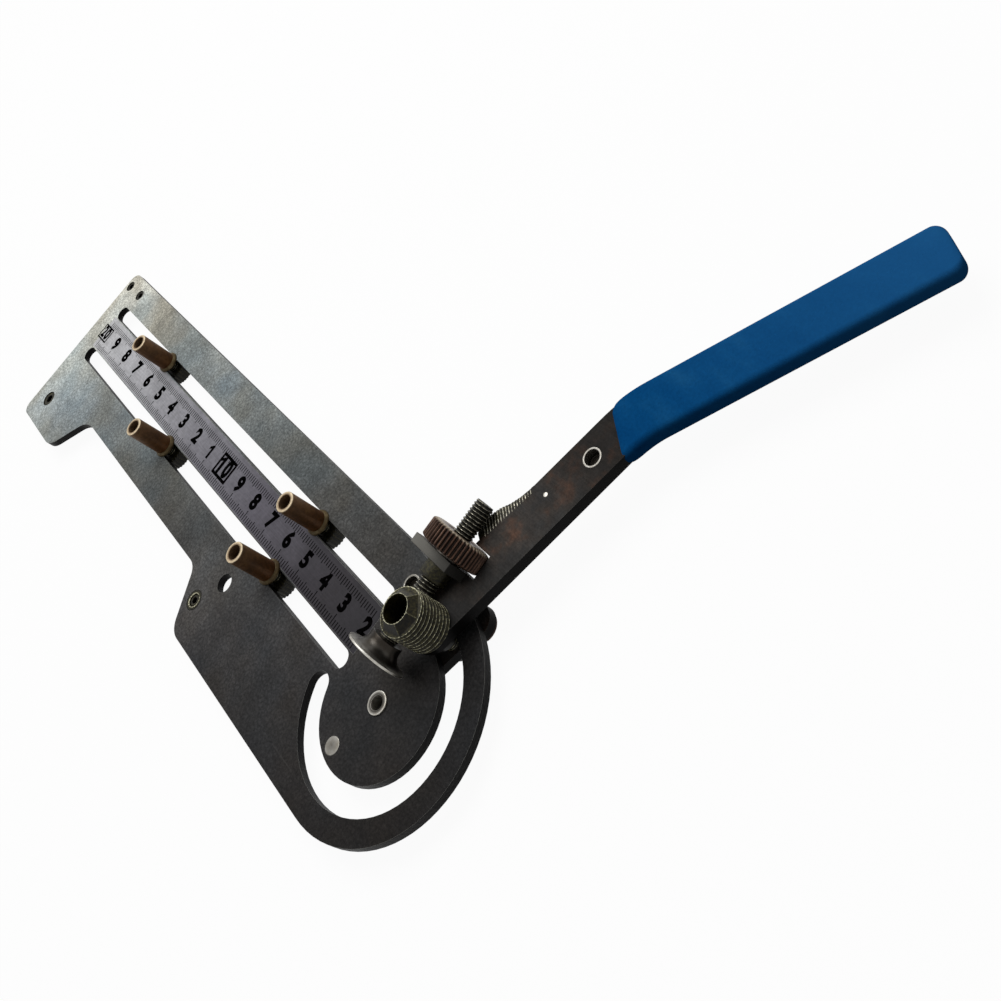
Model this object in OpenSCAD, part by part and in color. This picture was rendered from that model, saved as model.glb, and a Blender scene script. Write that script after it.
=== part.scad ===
// Bench wire bender: a ruled, slotted plate with four sliding posts and a
// swinging lever that carries a threaded mandrel and an adjustable clamp pad.
// The pivot is at x = 0, y = 0, and the plate's top face is at z = 0.

/* [Plate] */
// Distance from the pivot to the far end of the plate
plate_reach = 207; // [160:1:260]
// Sheet thickness
plate_t = 2.3; // [1.5:0.1:4]
// Pivot to the straight edge on the lever's side
back_edge = 29.6; // [28:0.1:36]
// Pivot to the waist edge on the other side
waist_edge = 13.7; // [11:0.1:18]
// Outer radius of the round head, which also sets the wide edge
head_r = 28.1; // [27.6:0.1:34]
// Where the wide part beside the head ends
lobe_end = 71.5; // [60:0.5:80]
// How far the far tab runs back along the plate
tab_len = 28; // [20:0.5:40]
// Slant of the edges that join the waist to the wide parts
slant_angle = 57; // [40:1:75]
// Rounding where a wide part meets its slant
outer_round = 6; // [3:0.5:7]
// Rounding where a slant meets the waist
inner_round = 5; // [2:0.5:8]
// Rounding of the two far corners
corner_round = 3; // [1:0.5:5]

/* [Slots] */
// Width of the two straight slots
slot_w = 4.64; // [4.2:0.02:6]
// Distance between the centre lines of the straight slots
slot_pitch = 16.8; // [15:0.1:20]
// Near end of the straight slots, from the pivot
slot_start = 15; // [14:0.5:20]
// Metal left between the slots and the far edge
slot_margin = 8.3; // [6:0.1:15]
// Radius of the disc inside the curved slot
disc_r = 16.45; // [15:0.05:18]
// Width of the curved slot
arc_slot_w = 6.15; // [5:0.05:6.5]
// End of the curved slot on the waist side, at its end circle
arc_from = 22.5; // [20:0.5:40]
// End of the curved slot under the mandrel, at its end circle
arc_to = 286; // [270:0.5:290]

/* [Rule] */
// Where the rule's zero lies, from the pivot
rule_zero = -3.3; // [-6:0.1:0]
// First ruled length on the strip
rule_first = 20; // [10:1:40]
// Thickness of the inlaid strip
rule_t = 0.5; // [0.3:0.1:0.8]
// Plate left between the strip and each slot
rule_land = 0.3; // [0.2:0.1:1]

/* [Pivot and small holes] */
// Bore of the hollow pivot bush
bush_bore_r = 1.6; // [1:0.1:1.8]
// Barrel of the pivot bush
bush_r = 2.2; // [2:0.1:3]
// Flange of the pivot bush
flange_r = 2.6; // [2.5:0.1:4]
// Flange thickness
flange_t = 0.5; // [0.3:0.1:1]
// Radius of the flush plug in the disc
plug_r = 2; // [1:0.1:2.2]
// Radius of the open hole in the lobe
lobe_hole_r = 2.4; // [1.5:0.1:3]
// Outside radius of the threaded insert in the lobe
insert_r = 2.7; // [2:0.1:3]
// Bore of the threaded insert
insert_bore_r = 1.6; // [1:0.1:1.8]
// Radius of the screw in the far tab
tab_hole_r = 2.5; // [1.5:0.1:4]
// Radius of the two screws in the far corner
pin_hole_r = 1.8; // [0.8:0.1:2]
// How deep the set screws sit under the plate's face
screw_drop = 0.2; // [0.1:0.05:0.5]
// Depth of the sockets in the set screws
socket_depth = 1.2; // [0.5:0.1:1.3]
// Floor left under the blind bores of the dowels
dowel_floor = 0.7; // [0.4:0.1:1.2]

/* [Posts] */
// Height of the posts above the plate
post_h = 13.1; // [9:0.1:20]
// Outside radius of a post sleeve
sleeve_r = 2.7; // [2.2:0.05:4]
// Bore of a post sleeve
sleeve_bore_r = 1.85; // [1.5:0.05:2]
// Radius of a post's flared foot
foot_r = 3.3; // [2.9:0.1:5]
// Height of the flared foot
foot_h = 1.1; // [0.6:0.1:2]
// Radius of the round nut under the plate
nut_r = 4.6; // [4:0.1:6]
// Height of the round nut
nut_h = 3.9; // [2.5:0.1:6]
// How far the stud's end sits below the sleeve's rim
stud_drop = 4.2; // [1:0.1:8]
// Places of the four posts along the rule
post_at = [54.5, 157.1, 58.1, 129.3];

/* [Lever] */
// Direction of the lever at rest
lever_angle = -102.8; // [-120:0.1:-90]
// Sideways offset of the lever's centre line
lever_shift = 1.7; // [0:0.1:4]
// Width of the lever bar
lever_w = 11.9; // [9:0.1:16]
// Thickness of the lever bar
lever_t = 3.3; // [2:0.1:5]
// Height of the bar above the plate
lever_gap = 2.4; // [1.5:0.1:4]
// Pivot to the bend in the lever
bend_at = 82.8; // [74:0.2:100]
// Angle of the bend
bend_angle = 20.3; // [0.5:0.1:40]
// Centre line radius of the bend
bend_r = 30; // [15:0.5:60]
// Length of the handle past the bend
handle_len = 77; // [50:0.5:120]
// Thickness of the dipped grip on the bar
coat_t = 0.8; // [0.4:0.05:1.5]
// Edge rounding of the grip
grip_round = 1.4; // [0.5:0.05:2.4]
// Corner rounding of the grip's far end, seen from above
grip_end_r = 3; // [1.5:0.1:5]
// How far the grip's start leans along the bar, from edge to edge
grip_lean = 4.6; // [0:0.1:5]

/* [Mandrel] */
// Pivot to the mandrel
mandrel_at = 20.3; // [19:0.1:21]
// Sideways place of the mandrel on the lever
mandrel_side = -0.45; // [-2:0.05:2]
// Outside radius of the mandrel's thread
mandrel_r = 5.5; // [4:0.05:6]
// Top of the mandrel above the plate
mandrel_top = 18.1; // [13:0.1:25]
// Pitch of the mandrel's thread rings
mandrel_pitch = 1.15; // [0.8:0.05:2]
// Height of the tapered hexagon on top
nose_h = 2; // [0.5:0.1:3]
// Bore in the mandrel's top
nose_bore_r = 3.1; // [1.5:0.05:3.6]
// Depth of that bore
nose_bore_depth = 5.5; // [2:0.1:7]
// Radius of the stud under the mandrel
stud_r = 1.9; // [1.5:0.05:2.6]

/* [Clamp rod] */
// Rod's sideways place from the pivot
rod_x = 0.9; // [0.8:0.1:6]
// Clearance between the rod and the lever bar's top
rod_lift = 0.2; // [0.1:0.1:2]
// Rod radius
rod_r = 2.4; // [1.5:0.05:2.5]
// Far end of the rod from the pivot
rod_end = 47.2; // [42:0.1:60]
// Face of the clamp pad from the pivot
pad_face = 8.1; // [6:0.1:9]
// Radius of the clamp pad
pad_r = 7.3; // [5:0.1:7.8]
// Thickness of the clamp pad's rim
pad_t = 0.5; // [0.3:0.1:1]
// Length of the clamp pad with its neck
pad_len = 4.3; // [3:0.1:4.6]
// Radius of the clamp pad's neck
neck_r = 3.9; // [3.4:0.1:4.4]
// Near face of the ear plate from the pivot
ear_at = 30.9; // [30:0.1:36]
// Thickness of the ear plate
ear_t = 2.3; // [1.5:0.1:4]
// Ear plate's reach past the rod on the outer side
ear_out = 8.7; // [4:0.1:12]
// Ear plate's reach past the rod on the inner side
ear_in = 5.1; // [4:0.1:8]
// Ear plate's height above the rod
ear_up = 3.5; // [2.8:0.1:6]
// Radius of the bush on the ear's near face
bush_out_r = 3.3; // [3:0.1:4]
// Length of that bush
bush_len = 3.4; // [1:0.1:4.5]
// Radius of the thumb nut
thumb_r = 7.6; // [5:0.1:7.8]
// Thickness of the thumb nut
thumb_t = 5; // [3:0.1:8]
// Number of ribs round the thumb nut
thumb_ribs = 36; // [20:1:48]

/* [Fits] */
// Radial clearance of every turning or sliding shaft
run_fit = 0.05; // [0.02:0.01:0.09]
// Flat gap between pieces that slide over one another
face_gap = 0.15; // [0.05:0.05:0.4]
// Clearance between a dipped coat and its core
coat_fit = 0.02; // [0.01:0.01:0.05]
// Free space round the thumb nut in the lever's edge
nut_space = 0.4; // [0.2:0.1:2]

/* [Hidden] */
fine = 64;
small = 32;
plate_z = -plate_t;
arc_mid = disc_r + arc_slot_w / 2;
slot_end = plate_reach - slot_margin;
tab_start = plate_reach - tab_len;
slot_y = [-slot_pitch, -slot_pitch, 0, 0];
post_x = [for (p = post_at) p + rule_zero];
lever_z = lever_gap;
lever_top = lever_gap + lever_t;
rod_z = lever_top + rod_r + rod_lift;
mandrel_angle = lever_angle + atan2(mandrel_side, mandrel_at);
mandrel_reach = norm([mandrel_at, mandrel_side]);
bend_start = bend_r * tan(bend_angle / 2);
link_z = plate_z - face_gap;
link_t = 2.5;
link_w = 6;
foot_at = 26.9;
foot_head_r = 4.1;
nut_z = plate_z - 0.05 - nut_h;
thumb_at = ear_at + ear_t + 0.6;
washer_r = 3.4;
edge_n = lever_shift + lever_w / 2;
dowel_at = 70.4;
dowel_r = 2.4;
pin_at = [57.4, lever_shift + 1.8];
lobe_hole = [66.4, 10.4];
insert_spot = [72, 19];
plug_spot = [3.7, 13.1];
head_dowel_at = [12.8, -22.4];
tab_hole = [plate_reach - 8.6, 19.4];
pin_holes = [[plate_reach - 2.7, -24.9], [plate_reach - 11.5, -24.9]];

// One point at a distance and an angle
function polar(r, a) = [r * cos(a), r * sin(a)];

// The little piece between a corner and the arc that rounds it: p is the
// corner, a and b are the angles of its two edges, r is the radius. It reaches
// 0.02 mm past both edges, so that no edge is shared with the outline.
module corner_bit(p, a, b, r) {
    half = abs(a - b) / 2;
    run = r / tan(half);
    c = p + polar(r / sin(half), (a + b) / 2);
    k = 1 + 0.02 / r;
    difference() {
        polygon([c + (p - c) * k, c + (p + polar(run, a) - c) * k, c, c + (p + polar(run, b) - c) * k]);
        translate(c) circle(r = r, $fn = fine);
    }
}

// A slot along x between two end tips
module slot(x1, x2, w) {
    translate([x1 + w / 2, -w / 2]) square([x2 - x1 - w, w]);
    for (x = [x1 + w / 2, x2 - w / 2]) translate([x, 0]) circle(r = w / 2, $fn = small);
}

// A ring or tube standing on z
module tube(r, bore, z, h, sides = small) {
    translate([0, 0, z]) difference() {
        cylinder(r = r, h = h, $fn = sides);
        translate([0, 0, -1]) cylinder(r = bore, h = h + 2, $fn = sides);
    }
}

// A dowel with a blind bore from the top
module cup(r, bore, z, h, floor_t) {
    translate([0, 0, z]) difference() {
        cylinder(r = r, h = h, $fn = small);
        translate([0, 0, floor_t]) cylinder(r = bore, h = h, $fn = small);
    }
}

// A set screw with a hexagon socket, just under the plate's face
module set_screw(r) {
    translate([0, 0, plate_z]) difference() {
        cylinder(r = r, h = plate_t - screw_drop, $fn = small);
        translate([0, 0, plate_t - screw_drop - socket_depth]) cylinder(r = r * 0.55, h = plate_t, $fn = 6);
    }
}

// Places its children on the lever's own axes: x along the lever
module on_lever() { rotate([0, 0, lever_angle]) children(); }

// Places its children along the clamp rod: z runs from the pivot outward
module on_rod(y) { translate([rod_x, -y, rod_z]) rotate([90, 0, 0]) children(); }

module plate_outline() {
    drop = (head_r - waist_edge) / tan(slant_angle);
    tangent = -atan2(back_edge, slot_start + 4) - acos(head_r / norm([slot_start + 4, back_edge]));
    difference() {
        union() {
            circle(r = head_r, $fn = 96);
            polygon([[0, 0], polar(head_r - 1, tangent), [slot_start + 4, -back_edge],
                [plate_reach, -back_edge], [plate_reach, head_r],
                [tab_start, head_r], [tab_start - drop, waist_edge],
                [lobe_end + drop, waist_edge], [lobe_end, head_r], [0, head_r]]);
            corner_bit([lobe_end + drop, waist_edge], 0, 180 - slant_angle, inner_round);
            corner_bit([tab_start - drop, waist_edge], slant_angle, 180, inner_round * 1.6);
        }
        corner_bit([lobe_end, head_r], -slant_angle, -180, outer_round);
        corner_bit([tab_start, head_r], 0, slant_angle - 180, outer_round);
        corner_bit([plate_reach, head_r], -90, -180, corner_round);
        corner_bit([plate_reach, -back_edge], 90, 180, corner_round);
    }
}

module arc_slot() {
    translate([0, 0, plate_z - 1]) {
        rotate([0, 0, arc_from]) rotate_extrude(angle = arc_to - arc_from, $fn = 96)
            translate([disc_r, 0]) square([arc_slot_w, plate_t + 2]);
        for (a = [arc_from, arc_to]) translate(polar(arc_mid, a))
            cylinder(r = arc_slot_w / 2, h = plate_t + 2, $fn = small);
    }
}

module base_plate() color([0.55, 0.56, 0.58]) difference() {
    translate([0, 0, plate_z]) linear_extrude(plate_t) plate_outline();
    for (y = [0, -slot_pitch]) translate([0, y, plate_z - 1])
        linear_extrude(plate_t + 2) slot(slot_start, slot_end, slot_w);
    arc_slot();
    translate([0, 0, plate_z - 1]) {
        cylinder(r = bush_r, h = plate_t + 2, $fn = small);
        translate(plug_spot) cylinder(r = plug_r, h = plate_t + 2, $fn = small);
        translate(lobe_hole) cylinder(r = lobe_hole_r, h = plate_t + 2, $fn = small);
        translate(insert_spot) cylinder(r = insert_r, h = plate_t + 2, $fn = small);
        translate(head_dowel_at) cylinder(r = dowel_r, h = plate_t + 2, $fn = small);
        translate(tab_hole) cylinder(r = tab_hole_r, h = plate_t + 2, $fn = small);
        for (p = pin_holes) translate(p) cylinder(r = pin_hole_r, h = plate_t + 2, $fn = small);
    }
    translate([rule_first + rule_zero - 2, slot_w / 2 + rule_land - slot_pitch, -rule_t])
        cube([slot_end - rule_first - rule_zero + 2, slot_pitch - slot_w - 2 * rule_land, 1]);
}

module rule_strip() color([0.72, 0.72, 0.75])
    translate([rule_first + rule_zero - 2, slot_w / 2 + rule_land - slot_pitch, -rule_t])
        cube([slot_end - rule_first - rule_zero + 2, slot_pitch - slot_w - 2 * rule_land, rule_t]);

// Pivot rivet with a blind bore: flange on the disc, barrel through plate and
// link, lower flange
module pivot_bush() color([0.85, 0.85, 0.83]) rotate_extrude($fn = small) {
    low = link_z - link_t - face_gap - 0.9;
    polygon([[0, low + 1.6], [0, low], [flange_r + 0.6, low], [flange_r + 0.6, low + 0.9],
        [bush_r, low + 0.9], [bush_r, 0], [flange_r, 0], [flange_r, flange_t * 0.5],
        [flange_r - 0.3, flange_t], [bush_bore_r, flange_t], [bush_bore_r, low + 1.6]]);
}

module disc_plug() color([0.8, 0.8, 0.8]) translate([plug_spot.x, plug_spot.y, plate_z])
    cylinder(r = plug_r, h = plate_t, $fn = small);

module thread_insert() color([0.6, 0.6, 0.6]) translate(insert_spot)
    tube(insert_r, insert_bore_r, plate_z, plate_t);

module head_dowel() color([0.8, 0.78, 0.75]) translate(head_dowel_at)
    cup(dowel_r, dowel_r - 0.45, plate_z, plate_t + 0.1, dowel_floor);

module lobe_screw() color([0.35, 0.35, 0.35]) translate(insert_spot) set_screw(insert_bore_r);
module tab_screw() color([0.35, 0.35, 0.35]) translate(tab_hole) set_screw(tab_hole_r);
module corner_screw_1() color([0.35, 0.35, 0.35]) translate(pin_holes[0]) set_screw(pin_hole_r);
module corner_screw_2() color([0.35, 0.35, 0.35]) translate(pin_holes[1]) set_screw(pin_hole_r);

// The four posts: k is the post's place in the lists
module at_post(k) { translate([post_x[k], slot_y[k], 0]) children(); }

module sleeve(k) color([0.62, 0.5, 0.33]) at_post(k) rotate_extrude($fn = small)
    polygon([[sleeve_bore_r, foot_h], [sleeve_r, foot_h], [sleeve_r, post_h - 0.35],
        [sleeve_r - 0.35, post_h], [sleeve_bore_r, post_h]]);

module foot(k) color([0.75, 0.7, 0.55]) at_post(k) rotate_extrude($fn = small)
    polygon([[sleeve_bore_r, 0.02], [foot_r, 0.02], [foot_r, 0.4], [sleeve_r + 0.1, foot_h],
        [sleeve_bore_r, foot_h]]);

module stud(k) color([0.4, 0.4, 0.36]) at_post(k) translate([0, 0, nut_z + 0.5])
    cylinder(r = sleeve_bore_r - run_fit, h = post_h - stud_drop - nut_z - 0.5, $fn = small);

module nut(k) color([0.4, 0.38, 0.3]) at_post(k) rotate_extrude($fn = small)
    polygon([[sleeve_bore_r, nut_z], [nut_r - 0.4, nut_z], [nut_r, nut_z + 0.4],
        [nut_r, nut_z + nut_h - 0.3], [nut_r - 0.3, nut_z + nut_h], [sleeve_bore_r, nut_z + nut_h]]);

module sleeve_1() sleeve(0);
module sleeve_2() sleeve(1);
module sleeve_3() sleeve(2);
module sleeve_4() sleeve(3);
module foot_1() foot(0);
module foot_2() foot(1);
module foot_3() foot(2);
module foot_4() foot(3);
module stud_1() stud(0);
module stud_2() stud(1);
module stud_3() stud(2);
module stud_4() stud(3);
module nut_1() nut(0);
module nut_2() nut(1);
module nut_3() nut(2);
module nut_4() nut(3);

// Plan of the lever's bar from one place to its far end: straight, bend and
// handle, grown all round by g and lengthened by past, its far corners rounded
module bar_plan(from, past, g) difference() {
    bar_run(from, past, g);
    far_end(past) for (s = [-1, 1])
        corner_bit([0.01, s * (lever_w / 2 + g + 0.01)], -s * 90, -s * 180, grip_end_r - coat_t + g);
}

// Places its children at the bar's far end: x along the handle
module far_end(past) {
    translate([bend_at - bend_start, lever_shift - bend_r]) rotate(-bend_angle)
        translate([handle_len - bend_start + past, bend_r]) children();
}

module bar_run(from, past, g) {
    steps = 10;
    half = lever_w / 2 + g;
    c = [bend_at - bend_start, lever_shift - bend_r];
    run = polar(handle_len - bend_start + past, -bend_angle);
    outer = [for (k = [0 : steps]) c + polar(bend_r + half, 90 - bend_angle * k / steps)];
    inner = [for (k = [steps : -1 : 0]) c + polar(bend_r - half, 90 - bend_angle * k / steps)];
    polygon(concat([[from, lever_shift + half]], outer, [outer[steps] + run, inner[0] + run],
        inner, [[from, lever_shift - half]]));
}

module lever_bar() color([0.5, 0.5, 0.5]) difference() {
    on_lever() union() {
        translate([0, 0, lever_z]) linear_extrude(lever_t) bar_plan(mandrel_at, -coat_t, 0);
        translate([mandrel_at, lever_shift, lever_z]) cylinder(r = lever_w / 2, h = lever_t, $fn = fine);
    }
    on_lever() {
        translate([mandrel_at, mandrel_side, lever_z - 1]) cylinder(r = stud_r + run_fit, h = lever_t + 2, $fn = small);
        translate([dowel_at, lever_shift, lever_z - 1]) cylinder(r = dowel_r, h = lever_t + 2, $fn = small);
        translate([pin_at.x, pin_at.y, lever_z - 1]) cylinder(r = 0.6, h = lever_t + 2, $fn = small);
    }
    on_rod(ear_at + ear_t)
        cylinder(r = thumb_r + nut_space, h = thumb_at + thumb_t + nut_space - ear_at - ear_t, $fn = fine);
}

// How far the filed edge stands out from the bar, by the place along it
function comb_out(s) = lookup(s, [[39.6, 0], [42.4, 3], [44.4, 3], [47.4, 2.35], [49.8, 1.25], [52.6, 0.5], [56.5, 0]]);

// A filed edge beside the rod's end, with its row of leaning teeth
module edge_comb() color([0.6, 0.58, 0.52]) on_lever() {
    translate([0, 0, lever_z + 1.2]) linear_extrude(lever_t - 1.2)
        polygon([for (s = [39.6, 42.4, 44.4, 47.4, 49.8, 52.6, 56.5]) [s, edge_n + comb_out(s)]]);
    for (k = [0 : 17]) translate([41.2 + 0.8 * k, edge_n - 0.5 - 0.045 * k, lever_top]) rotate([0, 0, 68])
        cube([(comb_out(42.3 + 0.8 * k) + 0.4 + 0.045 * k) / sin(68), 0.4, 0.12]);
}

module ear_plate() color([0.6, 0.6, 0.6]) difference() {
    translate([rod_x - ear_in, -ear_at - ear_t, lever_z])
        cube([ear_in + ear_out, ear_t, rod_z + ear_up - lever_z]);
    on_rod(ear_at - 1) cylinder(r = rod_r + run_fit, h = ear_t + 2, $fn = small);
    on_lever() translate([mandrel_at, lever_shift - lever_w, 0]) cube([40, lever_w * 1.5, lever_top]);
}

// Threaded bush on the ear's near face, cut away over the lever's bar
module rod_bush() color([0.4, 0.4, 0.36]) difference() {
    on_rod(ear_at - bush_len) tube(bush_out_r, rod_r + run_fit, 0, bush_len);
    on_lever() translate([mandrel_at, lever_shift - lever_w, 0]) cube([40, lever_w * 1.5, lever_top]);
}

module rod_washer() color([0.7, 0.68, 0.6]) on_rod(ear_at + ear_t) tube(washer_r, rod_r + run_fit, 0, 0.5);

module dowel_ring() color([0.8, 0.78, 0.75]) on_lever()
    translate([dowel_at, lever_shift, 0]) cup(dowel_r, dowel_r - 0.45, lever_z, lever_t + 0.15, dowel_floor);

module lever_pin() color([0.85, 0.85, 0.85]) on_lever()
    translate([pin_at.x, pin_at.y, lever_z]) cylinder(r = 0.6, h = lever_t + 0.1, $fn = small);

// Dipped grip: the bar's run grown by the coat, with its far corners rounded
module grip_section() {
    w = lever_w / 2 + coat_t;
    mid = lever_z + lever_t / 2;
    h = lever_t / 2 + coat_t;
    r = min(grip_round, h - 0.2);
    translate([-w + r, mid - h]) square([2 * (w - r), 2 * h]);
    translate([-w, mid - h + r]) square([2 * w, 2 * (h - r)]);
    for (x = [-w + r, w - r], z = [mid - h + r, mid + h - r])
        translate([x, z]) circle(r = r, $fn = small);
}

module lever_grip() color([0.1, 0.45, 0.7]) on_lever() difference() {
    translate([bend_at - bend_start, lever_shift - bend_r, 0]) rotate([0, 0, -bend_angle]) {
        rotate([0, 0, 90]) rotate_extrude(angle = bend_angle, $fn = 128)
            translate([bend_r, 0]) grip_section();
        translate([0, bend_r, 0]) rotate([90, 0, 90])
            linear_extrude(handle_len - bend_start) grip_section();
    }
    translate([0, 0, lever_z - coat_fit]) linear_extrude(lever_t + 2 * coat_fit)
        bar_plan(bend_at - bend_start - 1, -coat_t + coat_fit, coat_fit);
    translate([0, 0, lever_z - 5]) linear_extrude(lever_t + 10) {
        far_end(0.01) for (s = [-1, 1])
            corner_bit([0, s * (lever_w / 2 + coat_t + 0.01)], -s * 90, -s * 180, grip_end_r);
        // the slanted start: a wedge that is thickest on the edge away from the bend
        polygon([[bend_at - bend_start - 1, lever_shift - lever_w], [bend_at - bend_start - 1, lever_shift + lever_w],
            [bend_at - bend_start + grip_lean, lever_shift + lever_w],
            [bend_at - bend_start, lever_shift - lever_w / 2 - coat_t]]);
    }
}

// Mandrel: thread rings, a tapered hexagon on top and a bore down into it
module mandrel() color([0.45, 0.44, 0.35]) on_lever() translate([mandrel_at, mandrel_side, 0]) {
    foot_z = lever_top;
    ring_top = mandrel_top - nose_h;
    turns = floor((ring_top - foot_z) / mandrel_pitch);
    difference() {
        union() {
            rotate_extrude($fn = small) polygon(concat([[0, foot_z]],
                [for (k = [0 : turns - 1], s = [0, 1])
                    [mandrel_r - 0.55 * (1 - s), foot_z + (k + 0.5 * s) * mandrel_pitch]],
                [[mandrel_r - 0.55, ring_top], [0, ring_top]]));
            translate([0, 0, ring_top]) cylinder(r1 = mandrel_r - 0.3, r2 = nose_bore_r + 0.5, h = nose_h, $fn = 6);
        }
        translate([0, 0, mandrel_top - nose_bore_depth])
            cylinder(r = nose_bore_r, h = nose_bore_depth + 1, $fn = small);
        translate([0, 0, foot_z - 1]) cylinder(r = stud_r + run_fit, h = 3.5, $fn = small);
        translate([-mandrel_at, -mandrel_side, 0]) rotate([0, 0, -lever_angle])
            on_rod(pad_face) cylinder(r = rod_r + 0.3, h = ear_at - pad_face, $fn = small);
    }
}

module mandrel_stud() color([0.4, 0.4, 0.36]) on_lever() translate([mandrel_at, mandrel_side, nut_z + 0.4])
    cylinder(r = stud_r, h = lever_top + 2.5 - nut_z - 0.4, $fn = small);

module spacer() color([0.5, 0.5, 0.45]) on_lever() translate([mandrel_at, mandrel_side, 0])
    tube(2.9, stud_r + run_fit, face_gap, lever_z - face_gap);

module under_link() color([0.45, 0.36, 0.3]) on_lever() translate([0, 0, link_z - link_t]) difference() {
    linear_extrude(link_t) {
        rotate([0, 0, mandrel_angle - lever_angle]) {
            translate([0, -link_w / 2]) square([foot_at, link_w]);
            circle(r = link_w / 2, $fn = fine);
            translate([foot_at, 0]) circle(r = foot_head_r, $fn = fine);
        }
    }
    translate([0, 0, -1]) cylinder(r = bush_r + run_fit, h = link_t + 2, $fn = small);
    translate([mandrel_at, mandrel_side, -1]) cylinder(r = stud_r + run_fit, h = link_t + 2, $fn = small);
}

module link_foot() color([0.5, 0.35, 0.3]) rotate([0, 0, mandrel_angle]) translate([foot_at, 0, 0])
    rotate_extrude($fn = small) {
        top = link_z - link_t;
        polygon([[0, nut_z], [foot_head_r - 1, nut_z], [foot_head_r - 0.4, nut_z + 0.5],
            [foot_head_r - 0.4, top], [0, top]]);
    }

module stud_nut() color([0.4, 0.38, 0.3]) on_lever() translate([mandrel_at, mandrel_side, 0])
    tube(2.9, stud_r + run_fit, nut_z, link_z - link_t - nut_z);

module clamp_rod() color([0.5, 0.5, 0.45]) on_rod(pad_face + pad_len)
    rotate_extrude($fn = small) {
        len = rod_end - pad_face - pad_len;
        polygon([[0, 0], [rod_r, 0], [rod_r, len - 0.5], [rod_r - 0.5, len], [0, len]]);
    }

// Clamp pad: a thin disc that flares out of a round neck. The flare is an
// ellipse's quarter between the rim and the neck
module clamp_pad() color([0.8, 0.8, 0.78]) on_rod(pad_face) rotate_extrude($fn = fine) {
    flare = pad_len * 0.75 - pad_t;
    polygon(concat([[0, 0], [pad_r, 0], [pad_r, pad_t]],
        [for (a = [15 : 15 : 90]) [pad_r - (pad_r - neck_r) * sin(a), pad_t + flare * (1 - cos(a))]],
        [[neck_r, pad_len], [0, pad_len]]));
}

module thumb_nut() color([0.45, 0.3, 0.22]) on_rod(thumb_at) difference() {
    union() {
        cylinder(r = thumb_r - 0.35, h = thumb_t, $fn = fine);
        for (k = [0 : thumb_ribs - 1]) rotate([0, 0, k * 360 / thumb_ribs])
            translate([thumb_r - 0.8, -0.32, 0.4]) cube([0.8, 0.64, thumb_t - 0.8]);
    }
    translate([0, 0, -1]) cylinder(r = rod_r + run_fit, h = thumb_t + 2, $fn = small);
}

base_plate();
rule_strip();
pivot_bush();
disc_plug();
thread_insert();
head_dowel();
lobe_screw();
tab_screw();
corner_screw_1();
corner_screw_2();
sleeve_1();
sleeve_2();
sleeve_3();
sleeve_4();
foot_1();
foot_2();
foot_3();
foot_4();
stud_1();
stud_2();
stud_3();
stud_4();
nut_1();
nut_2();
nut_3();
nut_4();
lever_bar();
edge_comb();
ear_plate();
dowel_ring();
lever_pin();
lever_grip();
mandrel();
mandrel_stud();
spacer();
under_link();
link_foot();
stud_nut();
rod_bush();
rod_washer();
clamp_rod();
clamp_pad();
thumb_nut();
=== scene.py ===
import math
import bmesh
import bpy
import numpy as np
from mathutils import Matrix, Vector


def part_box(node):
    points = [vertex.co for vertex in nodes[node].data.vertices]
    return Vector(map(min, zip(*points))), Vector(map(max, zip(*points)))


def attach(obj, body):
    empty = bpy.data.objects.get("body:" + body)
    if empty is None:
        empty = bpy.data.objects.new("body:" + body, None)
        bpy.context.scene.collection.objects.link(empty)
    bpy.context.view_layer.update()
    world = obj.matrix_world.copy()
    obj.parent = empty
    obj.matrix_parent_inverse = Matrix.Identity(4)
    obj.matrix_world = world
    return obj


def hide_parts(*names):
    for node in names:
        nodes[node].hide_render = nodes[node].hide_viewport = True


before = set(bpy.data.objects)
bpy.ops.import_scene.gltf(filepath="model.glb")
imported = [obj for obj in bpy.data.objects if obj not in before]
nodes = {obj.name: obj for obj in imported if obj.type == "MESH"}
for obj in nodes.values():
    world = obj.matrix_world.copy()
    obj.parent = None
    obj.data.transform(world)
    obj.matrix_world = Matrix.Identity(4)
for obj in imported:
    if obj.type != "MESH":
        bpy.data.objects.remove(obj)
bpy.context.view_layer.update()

mm = 0.001
leverAngle = math.radians(-102.8)  # the lever's own direction, about the pivot
axisGap = 0.0001  # radius in mm of a turned piece at its axis, so that its middle faces keep an area


def boxOf(node):
    # the lowest and the highest corner of a CAD piece, in mm
    low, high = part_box(node)
    return np.array(low) / mm, np.array(high) / mm


def roundOf(node):
    # a round CAD piece that stands along z: its bottom, its top, its centre and its radius, in mm
    low, high = boxOf(node)
    return low[2], high[2], (low + high) / 2, (high[0] - low[0]) / 2


# colours and nodes
def linear(code):
    # sRGB hex to linear: divide by 12.92 below 0.04045, else ((c + 0.055) / 1.055) to the 2.4
    value = np.array([int(code[k:k + 2], 16) for k in (1, 3, 5)]) / 255
    value = np.where(value < 0.04045, value / 12.92, ((value + 0.055) / 1.055) ** 2.4)
    return (*value, 1.0)


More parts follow.
